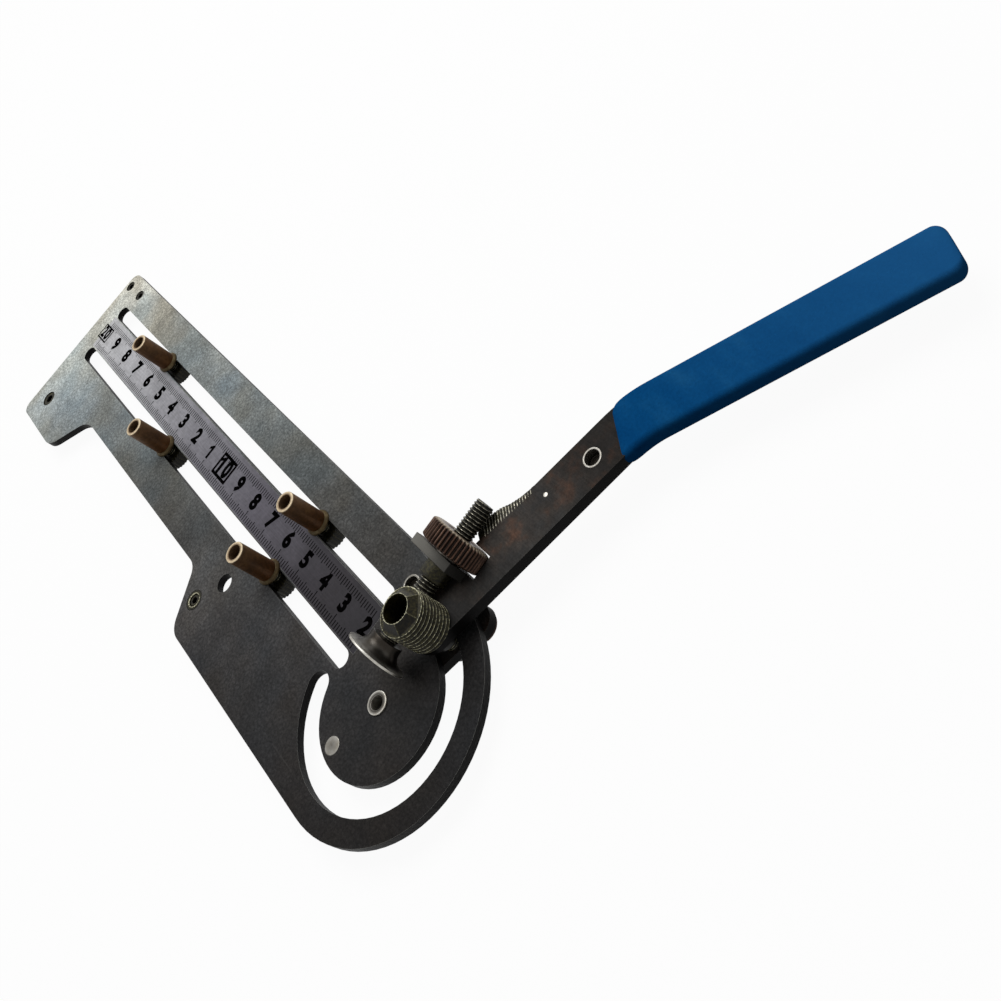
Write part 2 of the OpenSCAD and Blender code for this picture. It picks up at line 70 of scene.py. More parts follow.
def addNode(tree, kind, inputs=None, out=0, stops=(), **settings):
    # adds one node with its settings; inputs takes other nodes' outputs, numbers or hex colours,
    # stops fills a colour ramp, and one of its outputs is given back
    made = tree.nodes.new("ShaderNode" + kind)
    for name, value in settings.items():
        setattr(made, name, value)
    for name, value in (inputs or {}).items():
        if isinstance(value, bpy.types.NodeSocket):
            tree.links.new(value, made.inputs[name])
        else:
            made.inputs[name].default_value = linear(value) if isinstance(value, str) else value
    if stops:
        elements = made.color_ramp.elements
        while len(elements) < len(stops):
            elements.new(0.5)
        for element, (place, colour) in zip(elements, stops):
            element.position = place
            element.color = linear(colour) if isinstance(colour, str) else (colour, colour, colour, 1)
    return made.outputs[out] if len(made.outputs) else None


def newMaterial(name):
    # an empty material and its node tree
    material = bpy.data.materials.new(name)
    material.use_nodes = True
    material.node_tree.nodes.clear()
    return material, material.node_tree


def scaleFor(size):
    # a pattern's scale, for blotches or cells about size mm across
    return 1 / (size * mm)


multiplied = {"data_type": "RGBA", "blend_type": "MULTIPLY"}


def objectSpace(tree, scale=(1, 1, 1), turn=0.0):
    # object coordinates in metres, stretched and turned about z
    place = addNode(tree, "TexCoord", out="Object")
    return addNode(tree, "Mapping", {"Vector": place, "Rotation": (0, 0, turn), "Scale": scale})


def levelAlong(tree, way, low, high, least=0.0, most=1.0):
    # least where x * way[0] + y * way[1] is low mm, most where it is high mm
    place = addNode(tree, "TexCoord", out="Object")
    reach = addNode(tree, "VectorMath", {0: place, 1: (*way, 0.0)}, "Value", operation="DOT_PRODUCT")
    return addNode(tree, "MapRange", {0: reach, 1: low * mm, 2: high * mm, 3: least, 4: most})


def shaded(tree, base, factor, low, high, start=0.32, end=0.68):
    # multiplies a colour by low to high, as a factor goes from start to end
    level = addNode(tree, "MapRange", {0: factor, 1: start, 2: end, 3: low, 4: high})
    return addNode(tree, "Mix", {0: 1.0, 6: base, 7: level}, 2, **multiplied)


def mottled(tree, base, place, size, low, high, detail=3.0, rough=0.5, start=0.32, end=0.68):
    # blotches about size mm across multiply a colour by low to high
    spots = addNode(tree, "TexNoise", {"Vector": place, "Scale": scaleFor(size), "Detail": detail,
                                       "Roughness": rough})
    return shaded(tree, base, spots, low, high, start, end)


def stained(tree, place, size, stops, detail=4.0, rough=0.6):
    # a colour that wanders over the stops, in patches about size mm across
    patches = addNode(tree, "TexNoise", {"Vector": place, "Scale": scaleFor(size), "Detail": detail,
                                         "Roughness": rough})
    return addNode(tree, "ValToRGB", {"Fac": patches}, stops=stops)


def marked(tree, base, name, colour, share=1.0):
    # another colour where the piece's own attribute marks it, at a share of full strength
    mark = addNode(tree, "Attribute", out="Fac", attribute_name=name)
    amount = addNode(tree, "Math", {0: mark, 1: share}, operation="MULTIPLY")
    return addNode(tree, "Mix", {0: amount, 6: base, 7: colour}, 2, data_type="RGBA")


def wallsAndRims(tree, base, wall, rim, share):
    # walls left by shearing or drilling take the wall colour, partly scale and partly painted light and
    # shade, and the rim beside them is brightened as a painted highlight, partly wear
    return marked(tree, marked(tree, base, "cutWall", wall), "rimWearAndHighlight", rim, share)


def finish(tree, base, rough, metallic, specular, height=None, depth=0.0, others=None):
    # the shader and its output, with bumps of the given depth in mm
    inputs = {"Base Color": base, "Roughness": rough, "Metallic": metallic, "Specular IOR Level": specular}
    inputs.update(others or {})
    if height is not None:
        inputs["Normal"] = addNode(tree, "Bump", {"Height": height, "Strength": 1.0, "Distance": depth * mm})
    addNode(tree, "OutputMaterial", {"Surface": addNode(tree, "BsdfPrincipled", inputs)})


# materials
def zincPlatedSheet():
    # zinc-plated sheet steel: dull and mottled, with faint warm and bluish patches; from the far corner
    # towards the head it darkens, partly with oily wear and partly as a painted reflection that brightens the
    # far end
    material, tree = newMaterial("zincPlatedSheet")
    # sizes in mm, the painted sheen's place in metres
    look = {"patch": 20.0, "cloud": 12.0, "mottle": 4.5, "grain": 0.7, "cell": 1.3, "bend": 1.2,
            "wobble": 10 / 9, "scratch": 1.0, "scratchShare": 0.02, "depth": 0.11, "sheenFrom": 5,
            "sheenTo": 15, "sheenAt": (0.075, 0.018, 0.0)}
    place = objectSpace(tree)
    wearAndReflection = levelAlong(tree, (1.0, -1.5), -50, 230)
    base = addNode(tree, "ValToRGB", {"Fac": wearAndReflection}, stops=[
        (0.0, "#201e1d"), (0.18, "#2b2a2a"), (0.30, "#373636"), (0.44, "#414140"), (0.50, "#4a4b4a"),
        (0.585, "#565856"), (0.68, "#6e7373"), (0.76, "#777d7e"), (0.86, "#82847f"), (1.0, "#8f8f88")])
    # painted reflection and shadow, partly wear: the far tab is brighter, and the head is darker on the
    # lever's side, where the lever's shadow falls
    for level in (levelAlong(tree, (1.0, 0.0), 168, 198, 1.0, 1.85),
                  levelAlong(tree, (1.0, 1.0), -25, 25, 0.7, 1.2)):
        base = addNode(tree, "Mix", {0: 1.0, 6: base, 7: level}, 2, **multiplied)
    tint = stained(tree, place, look["patch"], [(0.36, "#e2eef8"), (0.5, "#ffffff"), (0.64, "#f8eee0")],
                   2.0, 0.5)
    base = addNode(tree, "Mix", {0: 0.6, 6: base, 7: tint}, 2, **multiplied)
    # rolled skin: cells about a millimetre wide, their seams darker, bent by fine noise
    wobble = addNode(tree, "TexNoise", {"Vector": place, "Scale": scaleFor(look["wobble"])}, "Color")
    bend = look["bend"] * mm
    bent = addNode(tree, "VectorMath", {0: wobble, 1: (bend, bend, 0.0), 2: place}, operation="MULTIPLY_ADD")
    cells = addNode(tree, "TexVoronoi", {"Vector": bent, "Scale": scaleFor(look["cell"])},
                    feature="DISTANCE_TO_EDGE")
    base = shaded(tree, base, cells, 0.8, 1.1, 0.0, 0.22)
    base = mottled(tree, base, place, look["cloud"], 0.84, 1.18)
    base = mottled(tree, base, place, look["mottle"], 0.84, 1.18, 5.0, 0.65)
    base = mottled(tree, base, place, look["grain"], 0.7, 1.36, 4.0, 0.7, 0.38, 0.62)
    drawn = objectSpace(tree, (0.06, 1.0, 1.0), 0.6)
    scratches = addNode(tree, "TexNoise", {"Vector": drawn, "Scale": scaleFor(look["scratch"]),
                                           "Detail": 2.0})
    lines = addNode(tree, "ValToRGB", {"Fac": scratches}, stops=[(0.68, 0.0), (0.76, 1.0)])
    faint = addNode(tree, "Math", {0: lines, 1: look["scratchShare"]}, operation="MULTIPLY")
    base = addNode(tree, "Mix", {0: faint, 6: base, 7: "#c9c8c4"}, 2, data_type="RGBA")
    # a painted sheen beside the threaded insert: brighter near it, fading out with the distance
    away = addNode(tree, "VectorMath", {0: place, 1: look["sheenAt"]}, "Value", operation="DISTANCE")
    base = shaded(tree, base, away, 1.45, 1.0, look["sheenFrom"] * mm, look["sheenTo"] * mm)
    base = wallsAndRims(tree, base, "#0c0b0b", "#a5a49f", 0.45)
    clouds = addNode(tree, "TexNoise", {"Vector": place, "Scale": scaleFor(9.0), "Detail": 3.0})
    rough = addNode(tree, "Math", {0: clouds, 1: 0.22, 2: 0.38}, operation="MULTIPLY_ADD")
    grain = addNode(tree, "TexNoise", {"Vector": place, "Scale": scaleFor(look["grain"]), "Detail": 2.0})
    height = addNode(tree, "Math", {0: scratches, 1: 0.5, 2: grain}, operation="MULTIPLY_ADD")
    finish(tree, base, rough, 0.2, 0.07, height, look["depth"])
    return material


def etchedRuleSteel():
    # etched steel rule: satin, faintly lilac, with drawing marks along it, darker towards the head
    material, tree = newMaterial("etchedRuleSteel")
    place = objectSpace(tree)
    base = addNode(tree, "ValToRGB", {"Fac": levelAlong(tree, (1.0, 0.0), 15, 200)}, stops=[
        (0.0, "#222024"), (0.1, "#29262a"), (0.33, "#55525a"), (0.57, "#7e7d83"), (0.89, "#aeaeb1"),
        (1.0, "#b8b8b9")])
    base = mottled(tree, base, place, 6.0, 0.88, 1.12)
    base = mottled(tree, base, place, 1.2, 0.86, 1.14, 4.0, 0.6)
    drawn = objectSpace(tree, (0.05, 1.0, 1.0))
    stripes = addNode(tree, "TexNoise", {"Vector": drawn, "Scale": scaleFor(0.35), "Detail": 2.0})
    base = shaded(tree, base, stripes, 0.9, 1.12)
    base = wallsAndRims(tree, base, "#29282a", "#b5b4b6", 0.4)
    finish(tree, base, 0.42, 0.3, 0.2, stripes, 0.02)
    return material


def printedInk():
    # baked black printing ink: matt, a little worn
    material, tree = newMaterial("printedInk")
    base = stained(tree, objectSpace(tree), 0.8, [(0.4, "#030303"), (0.85, "#0e0d0e")], 3.0)
    finish(tree, base, 0.8, 0.0, 0.0)
    return material


def turnedBrightSteel():
    # turned bright steel: pale and a little uneven, darkened where the piece's own mark says: a brown oil
    # film on some flats, and painted shade in bores, on the pad's neck and on its lower half
    material, tree = newMaterial("turnedBrightSteel")
    place = objectSpace(tree)
    base = stained(tree, place, 1.6, [(0.3, "#a09a8e"), (0.7, "#c6c4bd")])
    base = marked(tree, base, "shadeAndFilm", "#171009")
    grain = addNode(tree, "TexNoise", {"Vector": place, "Scale": scaleFor(0.25), "Detail": 3.0})
    finish(tree, base, 0.32, 0.8, 0.2, grain, 0.01)
    return material


def rolledBarSteel(name, colours, wall, levels=((0.0, 1.0), (1.0, 1.0)), way=(0.0, -1.0), low=0, high=100):
    # hot-rolled steel: dark grey with a brown cast, faint rust stains and mill marks along it
    material, tree = newMaterial(name)
    place = objectSpace(tree)
    base = stained(tree, place, 11.0, list(zip((0.42, 0.54, 0.68), colours)))
    base = mottled(tree, base, place, 2.6, 0.84, 1.2, 5.0, 0.65)
    rolled = objectSpace(tree, (0.06, 1.0, 1.0), -leverAngle)
    millMarks = addNode(tree, "TexNoise", {"Vector": rolled, "Scale": scaleFor(0.5), "Detail": 3.0,
                                           "Roughness": 0.6})
    base = shaded(tree, base, millMarks, 0.88, 1.15)
    base = mottled(tree, base, place, 0.5, 0.8, 1.25, 3.0, 0.7)
    base = wallsAndRims(tree, base, wall, "#8d8a86", 0.3)
    # darker or brighter along the piece, as the levels give: the levels are halved to fit a ramp, and doubled
    # again behind it
    half = addNode(tree, "ValToRGB", {"Fac": levelAlong(tree, way, low, high)},
                   stops=[(spot, level / 2) for spot, level in levels])
    base = addNode(tree, "Mix", {0: 1.0, 6: base, 7: half}, 2, **multiplied)
    base = addNode(tree, "Mix", {0: 1.0, 6: base, 7: (2.0, 2.0, 2.0, 1.0)}, 2, **multiplied)
    clouds = addNode(tree, "TexNoise", {"Vector": place, "Scale": scaleFor(5.0), "Detail": 3.0})
    rough = addNode(tree, "Math", {0: clouds, 1: 0.25, 2: 0.38}, operation="MULTIPLY_ADD")
    finish(tree, base, rough, 0.12, 0.04, millMarks, 0.05)
    return material


def oiledThreadSteel(name, crest, flank, root):
    # black-oxide threaded steel, oiled: dark flanks, a painted highlight on the crests and painted shade in
    # the roots
    material, tree = newMaterial(name)
    place = objectSpace(tree)
    depth = addNode(tree, "Attribute", out="Fac", attribute_name="shadeAndFilm")
    base = addNode(tree, "ValToRGB", {"Fac": depth}, stops=[(0.0, crest), (0.09, flank), (0.85, root)])
    base = mottled(tree, base, place, 0.7, 0.6, 1.5, 4.0, 0.7, 0.38, 0.62)
    base = mottled(tree, base, place, 0.5, 0.3, 2.2, 2.0, 0.6, 0.38, 0.64)
    grain = addNode(tree, "TexNoise", {"Vector": place, "Scale": scaleFor(0.3), "Detail": 3.0})
    finish(tree, base, 0.42, 0.3, 0.2, grain, 0.03)
    return material


def agedBronze(name, dark, middle, pale):
    # sintered bronze bush: oxide outside, a painted highlight with some wear on the rim, painted shade in the
    # bore, fine pores
    material, tree = newMaterial(name)
    place = objectSpace(tree)
    base = stained(tree, place, 3.4, [(0.3, dark), (0.55, middle), (0.75, pale)])
    base = marked(tree, base, "wearAndHighlight", "#d9c6a6")
    base = marked(tree, base, "shadeAndFilm", "#25140a")
    base = mottled(tree, base, place, 0.8, 0.82, 1.2, 3.0, 0.6)
    pores = addNode(tree, "TexNoise", {"Vector": place, "Scale": scaleFor(0.4), "Detail": 3.0})
    finish(tree, base, 0.5, 0.25, 0.15, pores, 0.06)
    return material


def brownedNut():
    # browned knurled brass: painted shade between the ribs, and a beige painted highlight, partly wear, on
    # the far rim
    material, tree = newMaterial("brownedNut")
    place = objectSpace(tree)
    base = stained(tree, place, 2.2, [(0.3, "#36241c"), (0.7, "#5c4435")])
    base = marked(tree, base, "wearAndHighlight", "#cdbda4")
    base = marked(tree, base, "shadeAndFilm", "#120a06")
    grain = addNode(tree, "TexNoise", {"Vector": place, "Scale": scaleFor(0.4), "Detail": 3.0})
    finish(tree, base, 0.42, 0.4, 0.2, grain, 0.02)
    return material


def dippedVinyl():
    # dipped PVC grip: satin, saturated blue, with faint sags and a fine orange-peel skin
    material, tree = newMaterial("dippedVinyl")
    place = objectSpace(tree)
    base = stained(tree, objectSpace(tree, (0.35, 1.0, 1.0), math.radians(123)), 6.0,
                   [(0.3, "#07457a"), (0.55, "#0c4c81"), (0.75, "#175688")], 3.0, 0.5)
    base = mottled(tree, base, place, 0.8, 0.88, 1.12, 4.0, 0.7)
    pale = levelAlong(tree, (0.0, -1.0), 85, 150, 0.0, 0.7)
    base = addNode(tree, "Mix", {0: pale, 6: base, 7: "#24629a"}, 2, data_type="RGBA")
    sags = addNode(tree, "TexNoise", {"Vector": place, "Scale": scaleFor(5.0), "Detail": 3.0})
    peel = addNode(tree, "TexNoise", {"Vector": place, "Scale": scaleFor(1.2), "Detail": 2.0})
    height = addNode(tree, "Math", {0: sags, 1: 2.0, 2: peel}, operation="MULTIPLY_ADD")
    finish(tree, base, 0.5, 0.0, 0.0, height, 0.08, {"IOR": 1.53})
    return material


sheet = zincPlatedSheet()
ruleSteel = etchedRuleSteel()
ink = printedInk()
bright = turnedBrightSteel()
barSteel = rolledBarSteel("rolledBarSteel", ("#2a2928", "#312d2a", "#47342a"), "#070606",
                          ((0.0, 1.05), (0.3, 1.0), (0.48, 1.5), (0.57, 1.25), (0.68, 0.6), (0.8, 0.5)))
earSteel = rolledBarSteel("rolledEarSteel", ("#5f5d59", "#5b5650", "#54493f"), "#7c7a74",
                          ((0.0, 0.85), (0.35, 0.62), (0.55, 0.36), (0.75, 0.22)), (-1.0, 0.0), -9, 9)
footSteel = rolledBarSteel("rustedFootSteel", ("#4a3b36", "#513f38", "#5a4338"), "#4a3b36")
threadSteel = oiledThreadSteel("oiledThreadSteel", "#b3b096", "#2d2a16", "#0a0804")
rodSteel = oiledThreadSteel("greyThreadSteel", "#a9a595", "#37352c", "#0d0b08")
bronze = agedBronze("agedBronze", "#44280f", "#5b3818", "#6a4a24")
collarBronze = agedBronze("oiledCollarBronze", "#33281a", "#57492f", "#82745a")
nutBrass = brownedNut()
vinyl = dippedVinyl()
print("materials ready")


# mesh helpers
def placed(name, data):
    # an object at the origin that shows a mesh, a text, a lamp or a camera
    made = bpy.data.objects.new(name, data)
    bpy.context.scene.collection.objects.link(made)
    return made


def meshFrom(name, points, faces):
    # a mesh from points in mm and the corners of each face
    mesh = bpy.data.meshes.new(name)
    mesh.from_pydata((np.reshape(points, (-1, 3)) * mm).tolist(), [], faces)
    return mesh


def setLevel(mesh, label, values, domain="POINT"):
    # writes one number per point or face, which a material reads by its name
    layer = mesh.attributes.new(label, "FLOAT", domain)
    layer.data.foreach_set("value", values.astype(np.float32).ravel())


def smoothed(mesh, material, crease):
    # smooth shading with sharp edges above the crease angle in degrees, and the mesh's material
    mesh.polygons.foreach_set("use_smooth", np.ones(len(mesh.polygons), bool))
    mesh.update()
    mesh.set_sharp_from_angle(angle=math.radians(crease))
    mesh.materials.append(material)


def surface(name, grid, material, capFirst=False, capLast=False, shadeAndFilm=None, wearAndHighlight=None, crease=32):
    # a grid of points (rows, columns, 3) in mm: quads between neighbours, columns wrap round,
    # and the first or last row may be closed with one face
    rows, columns = grid.shape[:2]
    index = np.arange(rows * columns).reshape(rows, columns)
    after = np.roll(index, -1, axis=1)
    faces = np.stack([index[:-1], after[:-1], after[1:], index[1:]], axis=-1).reshape(-1, 4).tolist()
    if capFirst:
        faces.append(index[0, ::-1].tolist())
    if capLast:
        faces.append(index[-1].tolist())
    mesh = meshFrom(name, grid, faces)
    for label, values in (("shadeAndFilm", shadeAndFilm), ("wearAndHighlight", wearAndHighlight)):
        if values is not None:
            setLevel(mesh, label, np.broadcast_to(values, (rows, columns)))
    smoothed(mesh, material, crease)
    return placed(name, mesh)


def weld(made):
    # merges the doubled row where a grid closes on itself
    work = bmesh.new()
    work.from_mesh(made.data)
    bmesh.ops.remove_doubles(work, verts=work.verts, dist=1e-7)
    bmesh.ops.recalc_face_normals(work, faces=work.faces)
    work.to_mesh(made.data)
    work.free()


def rounded(corners, radii, steps=5):
    # a profile through (radius, height) corners, each rounded by an arc of its own radius,
    # drawn as a quadratic curve between the two points where the arc would start and end
    corners = np.array(corners, float)
    line = []
    t = np.linspace(0, 1, steps)[:, None]
    for k, (corner, radius) in enumerate(zip(corners, radii)):
        if radius == 0 or k in (0, len(corners) - 1):
            line.append(corner[None])
            continue
        back = corners[k - 1] - corner
        ahead = corners[k + 1] - corner
        start = corner + back / np.linalg.norm(back) * radius
        end = corner + ahead / np.linalg.norm(ahead) * radius
        line.append((1 - t) ** 2 * start + 2 * t * (1 - t) * corner + t ** 2 * end)
    return np.concatenate(line)


def ringProfile(bore, outer, bottom, top, rounds):
    # a ring's section, from the bore's foot round the outside; rounds are the radii of its lower
    # outer, upper outer and upper inner edge
    corners = [(bore, bottom), (outer, bottom), (outer, top), (bore, top), (bore, bottom)]
    return rounded(corners, [0, *rounds, 0])[:-1]


def fullTurn(columns):
    # evenly spaced angles once round, without the last one, which would repeat the first
    return np.linspace(0, 2 * np.pi, columns, endpoint=False)


def swept(radius, height, angle):
    # points at a radius, a height and an angle: x = r cos a, y = r sin a
    radius, height, angle = np.broadcast_arrays(radius, height, angle)
    return np.stack([radius * np.cos(angle), radius * np.sin(angle), height], axis=-1)


def spun(name, profile, place, material, columns=64, shadeAndFilm=None):
    # an open (radius, height) profile turned about z, from axis to axis
    grid = place(swept(profile[:, :1], profile[:, 1:], fullTurn(columns)))
    made = surface(name, grid, material, shadeAndFilm=shadeAndFilm)
    weld(made)
    return made


def ringPiece(name, profile, place, material, shadeAndFilm=None, wearAndHighlight=None, columns=64):
    # a closed profile turned about z: the last row meets the first
    closed = np.concatenate([profile, profile[:1]])
    levels = {label: np.append(values, values[:1])[:, None]
              for label, values in (("shadeAndFilm", shadeAndFilm), ("wearAndHighlight", wearAndHighlight)) if values is not None}
    grid = place(swept(closed[:, :1], closed[:, 1:], fullTurn(columns)))
    made = surface(name, grid, material, **levels)
    weld(made)
    return made


def hexagonBy(angle):
    # a hexagon's radius by angle: the corner's radius is 1, and along each flat it is the flat's
    # distance over the cosine of the angle to the flat's middle
    return math.cos(math.pi / 6) / np.cos(angle % (math.pi / 3) - math.pi / 6)


def threaded(radius, depth, pitch, low, high, columns=48, perPitch=8, fade=0.8):
    # a screw: r = radius - depth * wave, where the wave goes from 0 on the crest to 1 at the root
    # of a rounded V and follows height / pitch - angle / full turn; it runs out at both ends
    rows = int((high - low) / pitch * perPitch) + 1
    height = np.linspace(low, high, rows)[:, None]
    angle = fullTurn(columns)[None]
    turns = height / pitch - angle / (2 * np.pi)
    wave = np.clip(np.abs((turns % 1.0) * 2 - 1) * 1.25 - 0.12, 0, 1)
    ends = np.clip(np.minimum(height - low, high - height) / fade, 0, 1)
    return swept(radius - depth * (wave * ends + (1 - ends)), height, angle), wave


def keep(made, body, slot, *replaced):
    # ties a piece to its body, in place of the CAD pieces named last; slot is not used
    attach(made, body)
    if replaced:
        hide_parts(*replaced)
    return made


def standing(centre):
    # moves a grid that was made about z to stand on a centre in x and y
    return lambda grid: grid + np.array([centre[0], centre[1], 0])


# plates and bars
def roundedCopy(node, name, material, width, across=2, shadeAndFilm=0.0):
    # a copy of a CAD node with its doubles merged and its sharp edges rounded; walls that stand along the
    # thickness are marked cutWall, and the narrow rounding faces are marked as the rim, which the materials
    # brighten as a painted highlight, partly wear
    work = bmesh.new()
    work.from_mesh(nodes[node].data)
    bmesh.ops.remove_doubles(work, verts=work.verts, dist=2e-6)
    sharp = [edge for edge in work.edges
             if len(edge.link_faces) == 2 and edge.calc_face_angle(0) > math.radians(38)]
    bmesh.ops.bevel(work, geom=sharp, offset=width * mm, segments=2, profile=0.5, affect="EDGES",
                    clamp_overlap=True, loop_slide=False)
    work.normal_update()
    tilt = np.array([abs(face.normal[across]) for face in work.faces])
    corners = [[point.index for point in face.verts] for face in work.faces]
    mesh = bpy.data.meshes.new(name)
    mesh.from_pydata([point.co[:] for point in work.verts], [], corners)
    work.free()
    wallTilt, faceTilt = 0.12, 0.985  # how far a normal points across, on a wall and on a face
    rim = (tilt > wallTilt) & (tilt < faceTilt)
    for label, values in (("cutWall", tilt <= wallTilt), ("rimWearAndHighlight", rim), ("shadeAndFilm", tilt * 0 + shadeAndFilm)):
        setLevel(mesh, label, values, "FACE")
    smoothed(mesh, material, 50)
    made = placed(name, mesh)
    made.modifiers.new("even", "WEIGHTED_NORMAL").keep_sharp = True
    return made


# CAD piece, name, material, width of the rounded edge in mm, body, slot
flatWork = [
    ("base_plate", "slottedPlate", sheet, 0.3, "base", "plate_steel"),
    ("lever_bar", "leverBar", barSteel, 0.22, "lever", "lever_steel"),
    ("ear_plate", "earPlate", earSteel, 0.22, "lever", "lever_steel"),
    ("under_link", "underLink", barSteel, 0.25, "lever", "lever_steel"),
    ("rule_strip", "ruleStrip", ruleSteel, 0.03, "base", "rule_steel"),
]
for node, name, material, width, body, slot in flatWork:
    keep(roundedCopy(node, name, material, width, 1 if node == "ear_plate" else 2), body, slot, node)


# the filed edge in mm on the lever's own axes; outline gives (along the lever, out from the bar)
combSize = {"first": 41.2, "step": 0.8, "count": 18, "base": 7.65, "lean": 68, "width": 0.4, "height": 0.12,
            "low": 3.6, "top": 5.7, "nick": 0.16, "chamfer": 0.12, "slope": 0.045, "inside": 0.02,
            "outline": ((39.6, 0), (40.0, 1.6), (40.8, 2.7), (42.4, 3), (44.4, 3), (47.4, 2.35), (49.8, 1.25),
                        (52.6, 0.5), (56.5, 0))}


def onLever(reach, across, height):
    # a point on the lever's own axes: turned about z by the lever's angle
    return np.stack([reach * math.cos(leverAngle) - across * math.sin(leverAngle),
                     reach * math.sin(leverAngle) + across * math.cos(leverAngle), height + 0 * reach], -1)


def filedEdge():
    # the filed edge: its outline, waved a little at each tooth, drawn at the bottom, the top and
    # just inside the rim; the first row and the last row are closed with one face each
    size = combSize
    spots, outs = np.array(size["outline"]).T
    reach = np.linspace(spots[0], spots[-1], 260)
    out = np.interp(reach, spots, outs)
    wave = 0.5 + 0.5 * np.cos((reach - size["first"] - 1.5 * size["step"]) / size["step"] * 2 * np.pi)
    across = size["base"] + np.maximum(out - size["nick"] * (1 - wave) * np.clip(out, 0, 1), 0)
    back = np.linspace(reach[-1], reach[0], 42)[1:-1]
    reach = np.append(reach, back)
    across = np.append(across, np.full(len(back), size["base"] - size["inside"]))
    lip = across - 0.1 * (across > size["base"] + 0.1)
    rows = [(across, size["low"]), (across, size["top"] - size["chamfer"]), (lip, size["top"])]
    grid = np.stack([onLever(reach, side, np.full_like(reach, height)) for side, height in rows])
    shade = np.array([[0.6], [0.5], [0.5]])
    return surface("filedEdge", grid[:, ::-1], threadSteel, True, True, shadeAndFilm=shade, crease=30)


def combRidges():
    # one low ridge per tooth: seven points across a half-round section, from the root to the tip,
    # that leans along the lever and follows the outline a little inside it
    size = combSize
    tooth = np.arange(size["count"])[:, None, None]
    t = np.array([0, 0.06, 0.5, 0.94, 1])[None, :, None]
    slim = np.array([0.5, 1, 1, 0.9, 0.4])[None, :, None]
    around = np.linspace(0, np.pi, 7)[None, None]
    lean = math.radians(size["lean"])
    rise = np.interp(size["first"] + 1.1 + size["step"] * tooth, *np.array(size["outline"]).T) + 0.4
    rise = rise + size["slope"] * tooth
    half = np.cos(around) * size["width"] / 2 * slim
    reach = size["first"] + size["step"] * tooth + rise / math.tan(lean) * t - math.sin(lean) * half
    across = size["base"] - 0.5 - size["slope"] * tooth + rise * t + math.cos(lean) * half
    height = size["top"] - 0.03 + (size["height"] + 0.03) * np.sin(around) * slim
    points = onLever(reach, across, height)
    one = np.arange(points[0, ..., 0].size).reshape(points.shape[1:3])
    after = np.roll(one, -1, axis=1)
    quads = np.stack([one[:-1], one[1:], after[1:], after[:-1]], -1).reshape(-1, 4)
    starts = one.size * np.arange(size["count"])
    faces = (quads[None] + starts[:, None, None]).reshape(-1, 4).tolist()
    faces += (one[0] + starts[:, None]).tolist() + (one[-1, ::-1] + starts[:, None]).tolist()
    mesh = meshFrom("combRidges", points, faces)
    # painted light: each ridge is brightest along its top and darker down its sides
    setLevel(mesh, "shadeAndFilm", np.broadcast_to(1 - np.sin(around), points.shape[:3]) * 0.5)
    smoothed(mesh, rodSteel, 50)
    made = placed("combRidges", mesh)
    weld(made)
    return made


keep(filedEdge(), "lever", "bright_steel", "edge_comb")
keep(combRidges(), "lever", "bright_steel")
print("plates finished")


# the rule's marks: zero is where 0 would stand, in mm from the pivot
ruleMark = {"zero": -3.3, "first": 20, "last": 200, "tickWidth": 0.24, "tickHeight": 0.025, "sunk": 0.01,
            "short": 1.7, "middle": 2.2, "long": 2.8, "nearGap": 1.3, "farGap": 0.3,
            "digit": 5.8, "bold": 0.055, "one": 0.08, "digitSide": -8.4}
# the two boxed numbers, by their value: digit height, frame line and first digit's place in mm;
# the shares are of the digit height
boxedNumber = {100: {"tall": 6.8, "line": 0.85, "first": 1.9}, 200: {"tall": 5.4, "line": 0.5, "first": 1.35}}
boxShare = {"zeroSide": 0.22, "wide": 1.23, "high": 0.97, "stretch": 0.8, "one": 0.09, "two": 0.05,
            "zero": 0.06}


def ruleTicks():
    # one thin plate per mark: a row of marks 1 mm apart on both edges, longer at 5 and 10 mm
    low, high = boxOf("rule_strip")
    value = np.arange(ruleMark["first"], ruleMark["last"] + 1)
    length = np.where(value % 10 == 0, ruleMark["long"],
                      np.where(value % 5 == 0, ruleMark["middle"], ruleMark["short"]))
    corner = np.array([[-1, 0], [1, 0], [1, 1], [-1, 1]])
    x = (value + ruleMark["zero"])[:, None] + corner[:, 0] * ruleMark["tickWidth"] / 2
    under, top = -ruleMark["sunk"], ruleMark["tickHeight"]
    plates = []
    for start, way in ((low[1] + ruleMark["nearGap"], 1), (high[1] - ruleMark["farGap"], -1)):
        y = start + way * corner[:, 1] * length[:, None]
        plates.append(np.concatenate([np.stack([x, y, np.full_like(x, z)], -1) for z in (under, top)], 1))
    points = np.concatenate(plates)
    outward = np.array([[4, 5, 6, 7], [3, 2, 1, 0], [0, 1, 5, 4], [1, 2, 6, 5], [2, 3, 7, 6], [3, 0, 4, 7]])
    starts = 8 * np.arange(len(points))[:, None, None]
    half = len(value)
    faces = np.concatenate([outward + starts[:half], outward[:, ::-1] + starts[half:]])
    mesh = meshFrom("ruleTicks", points, faces.reshape(-1, 4).tolist())
    mesh.materials.append(ink)
    return placed("ruleTicks", mesh)


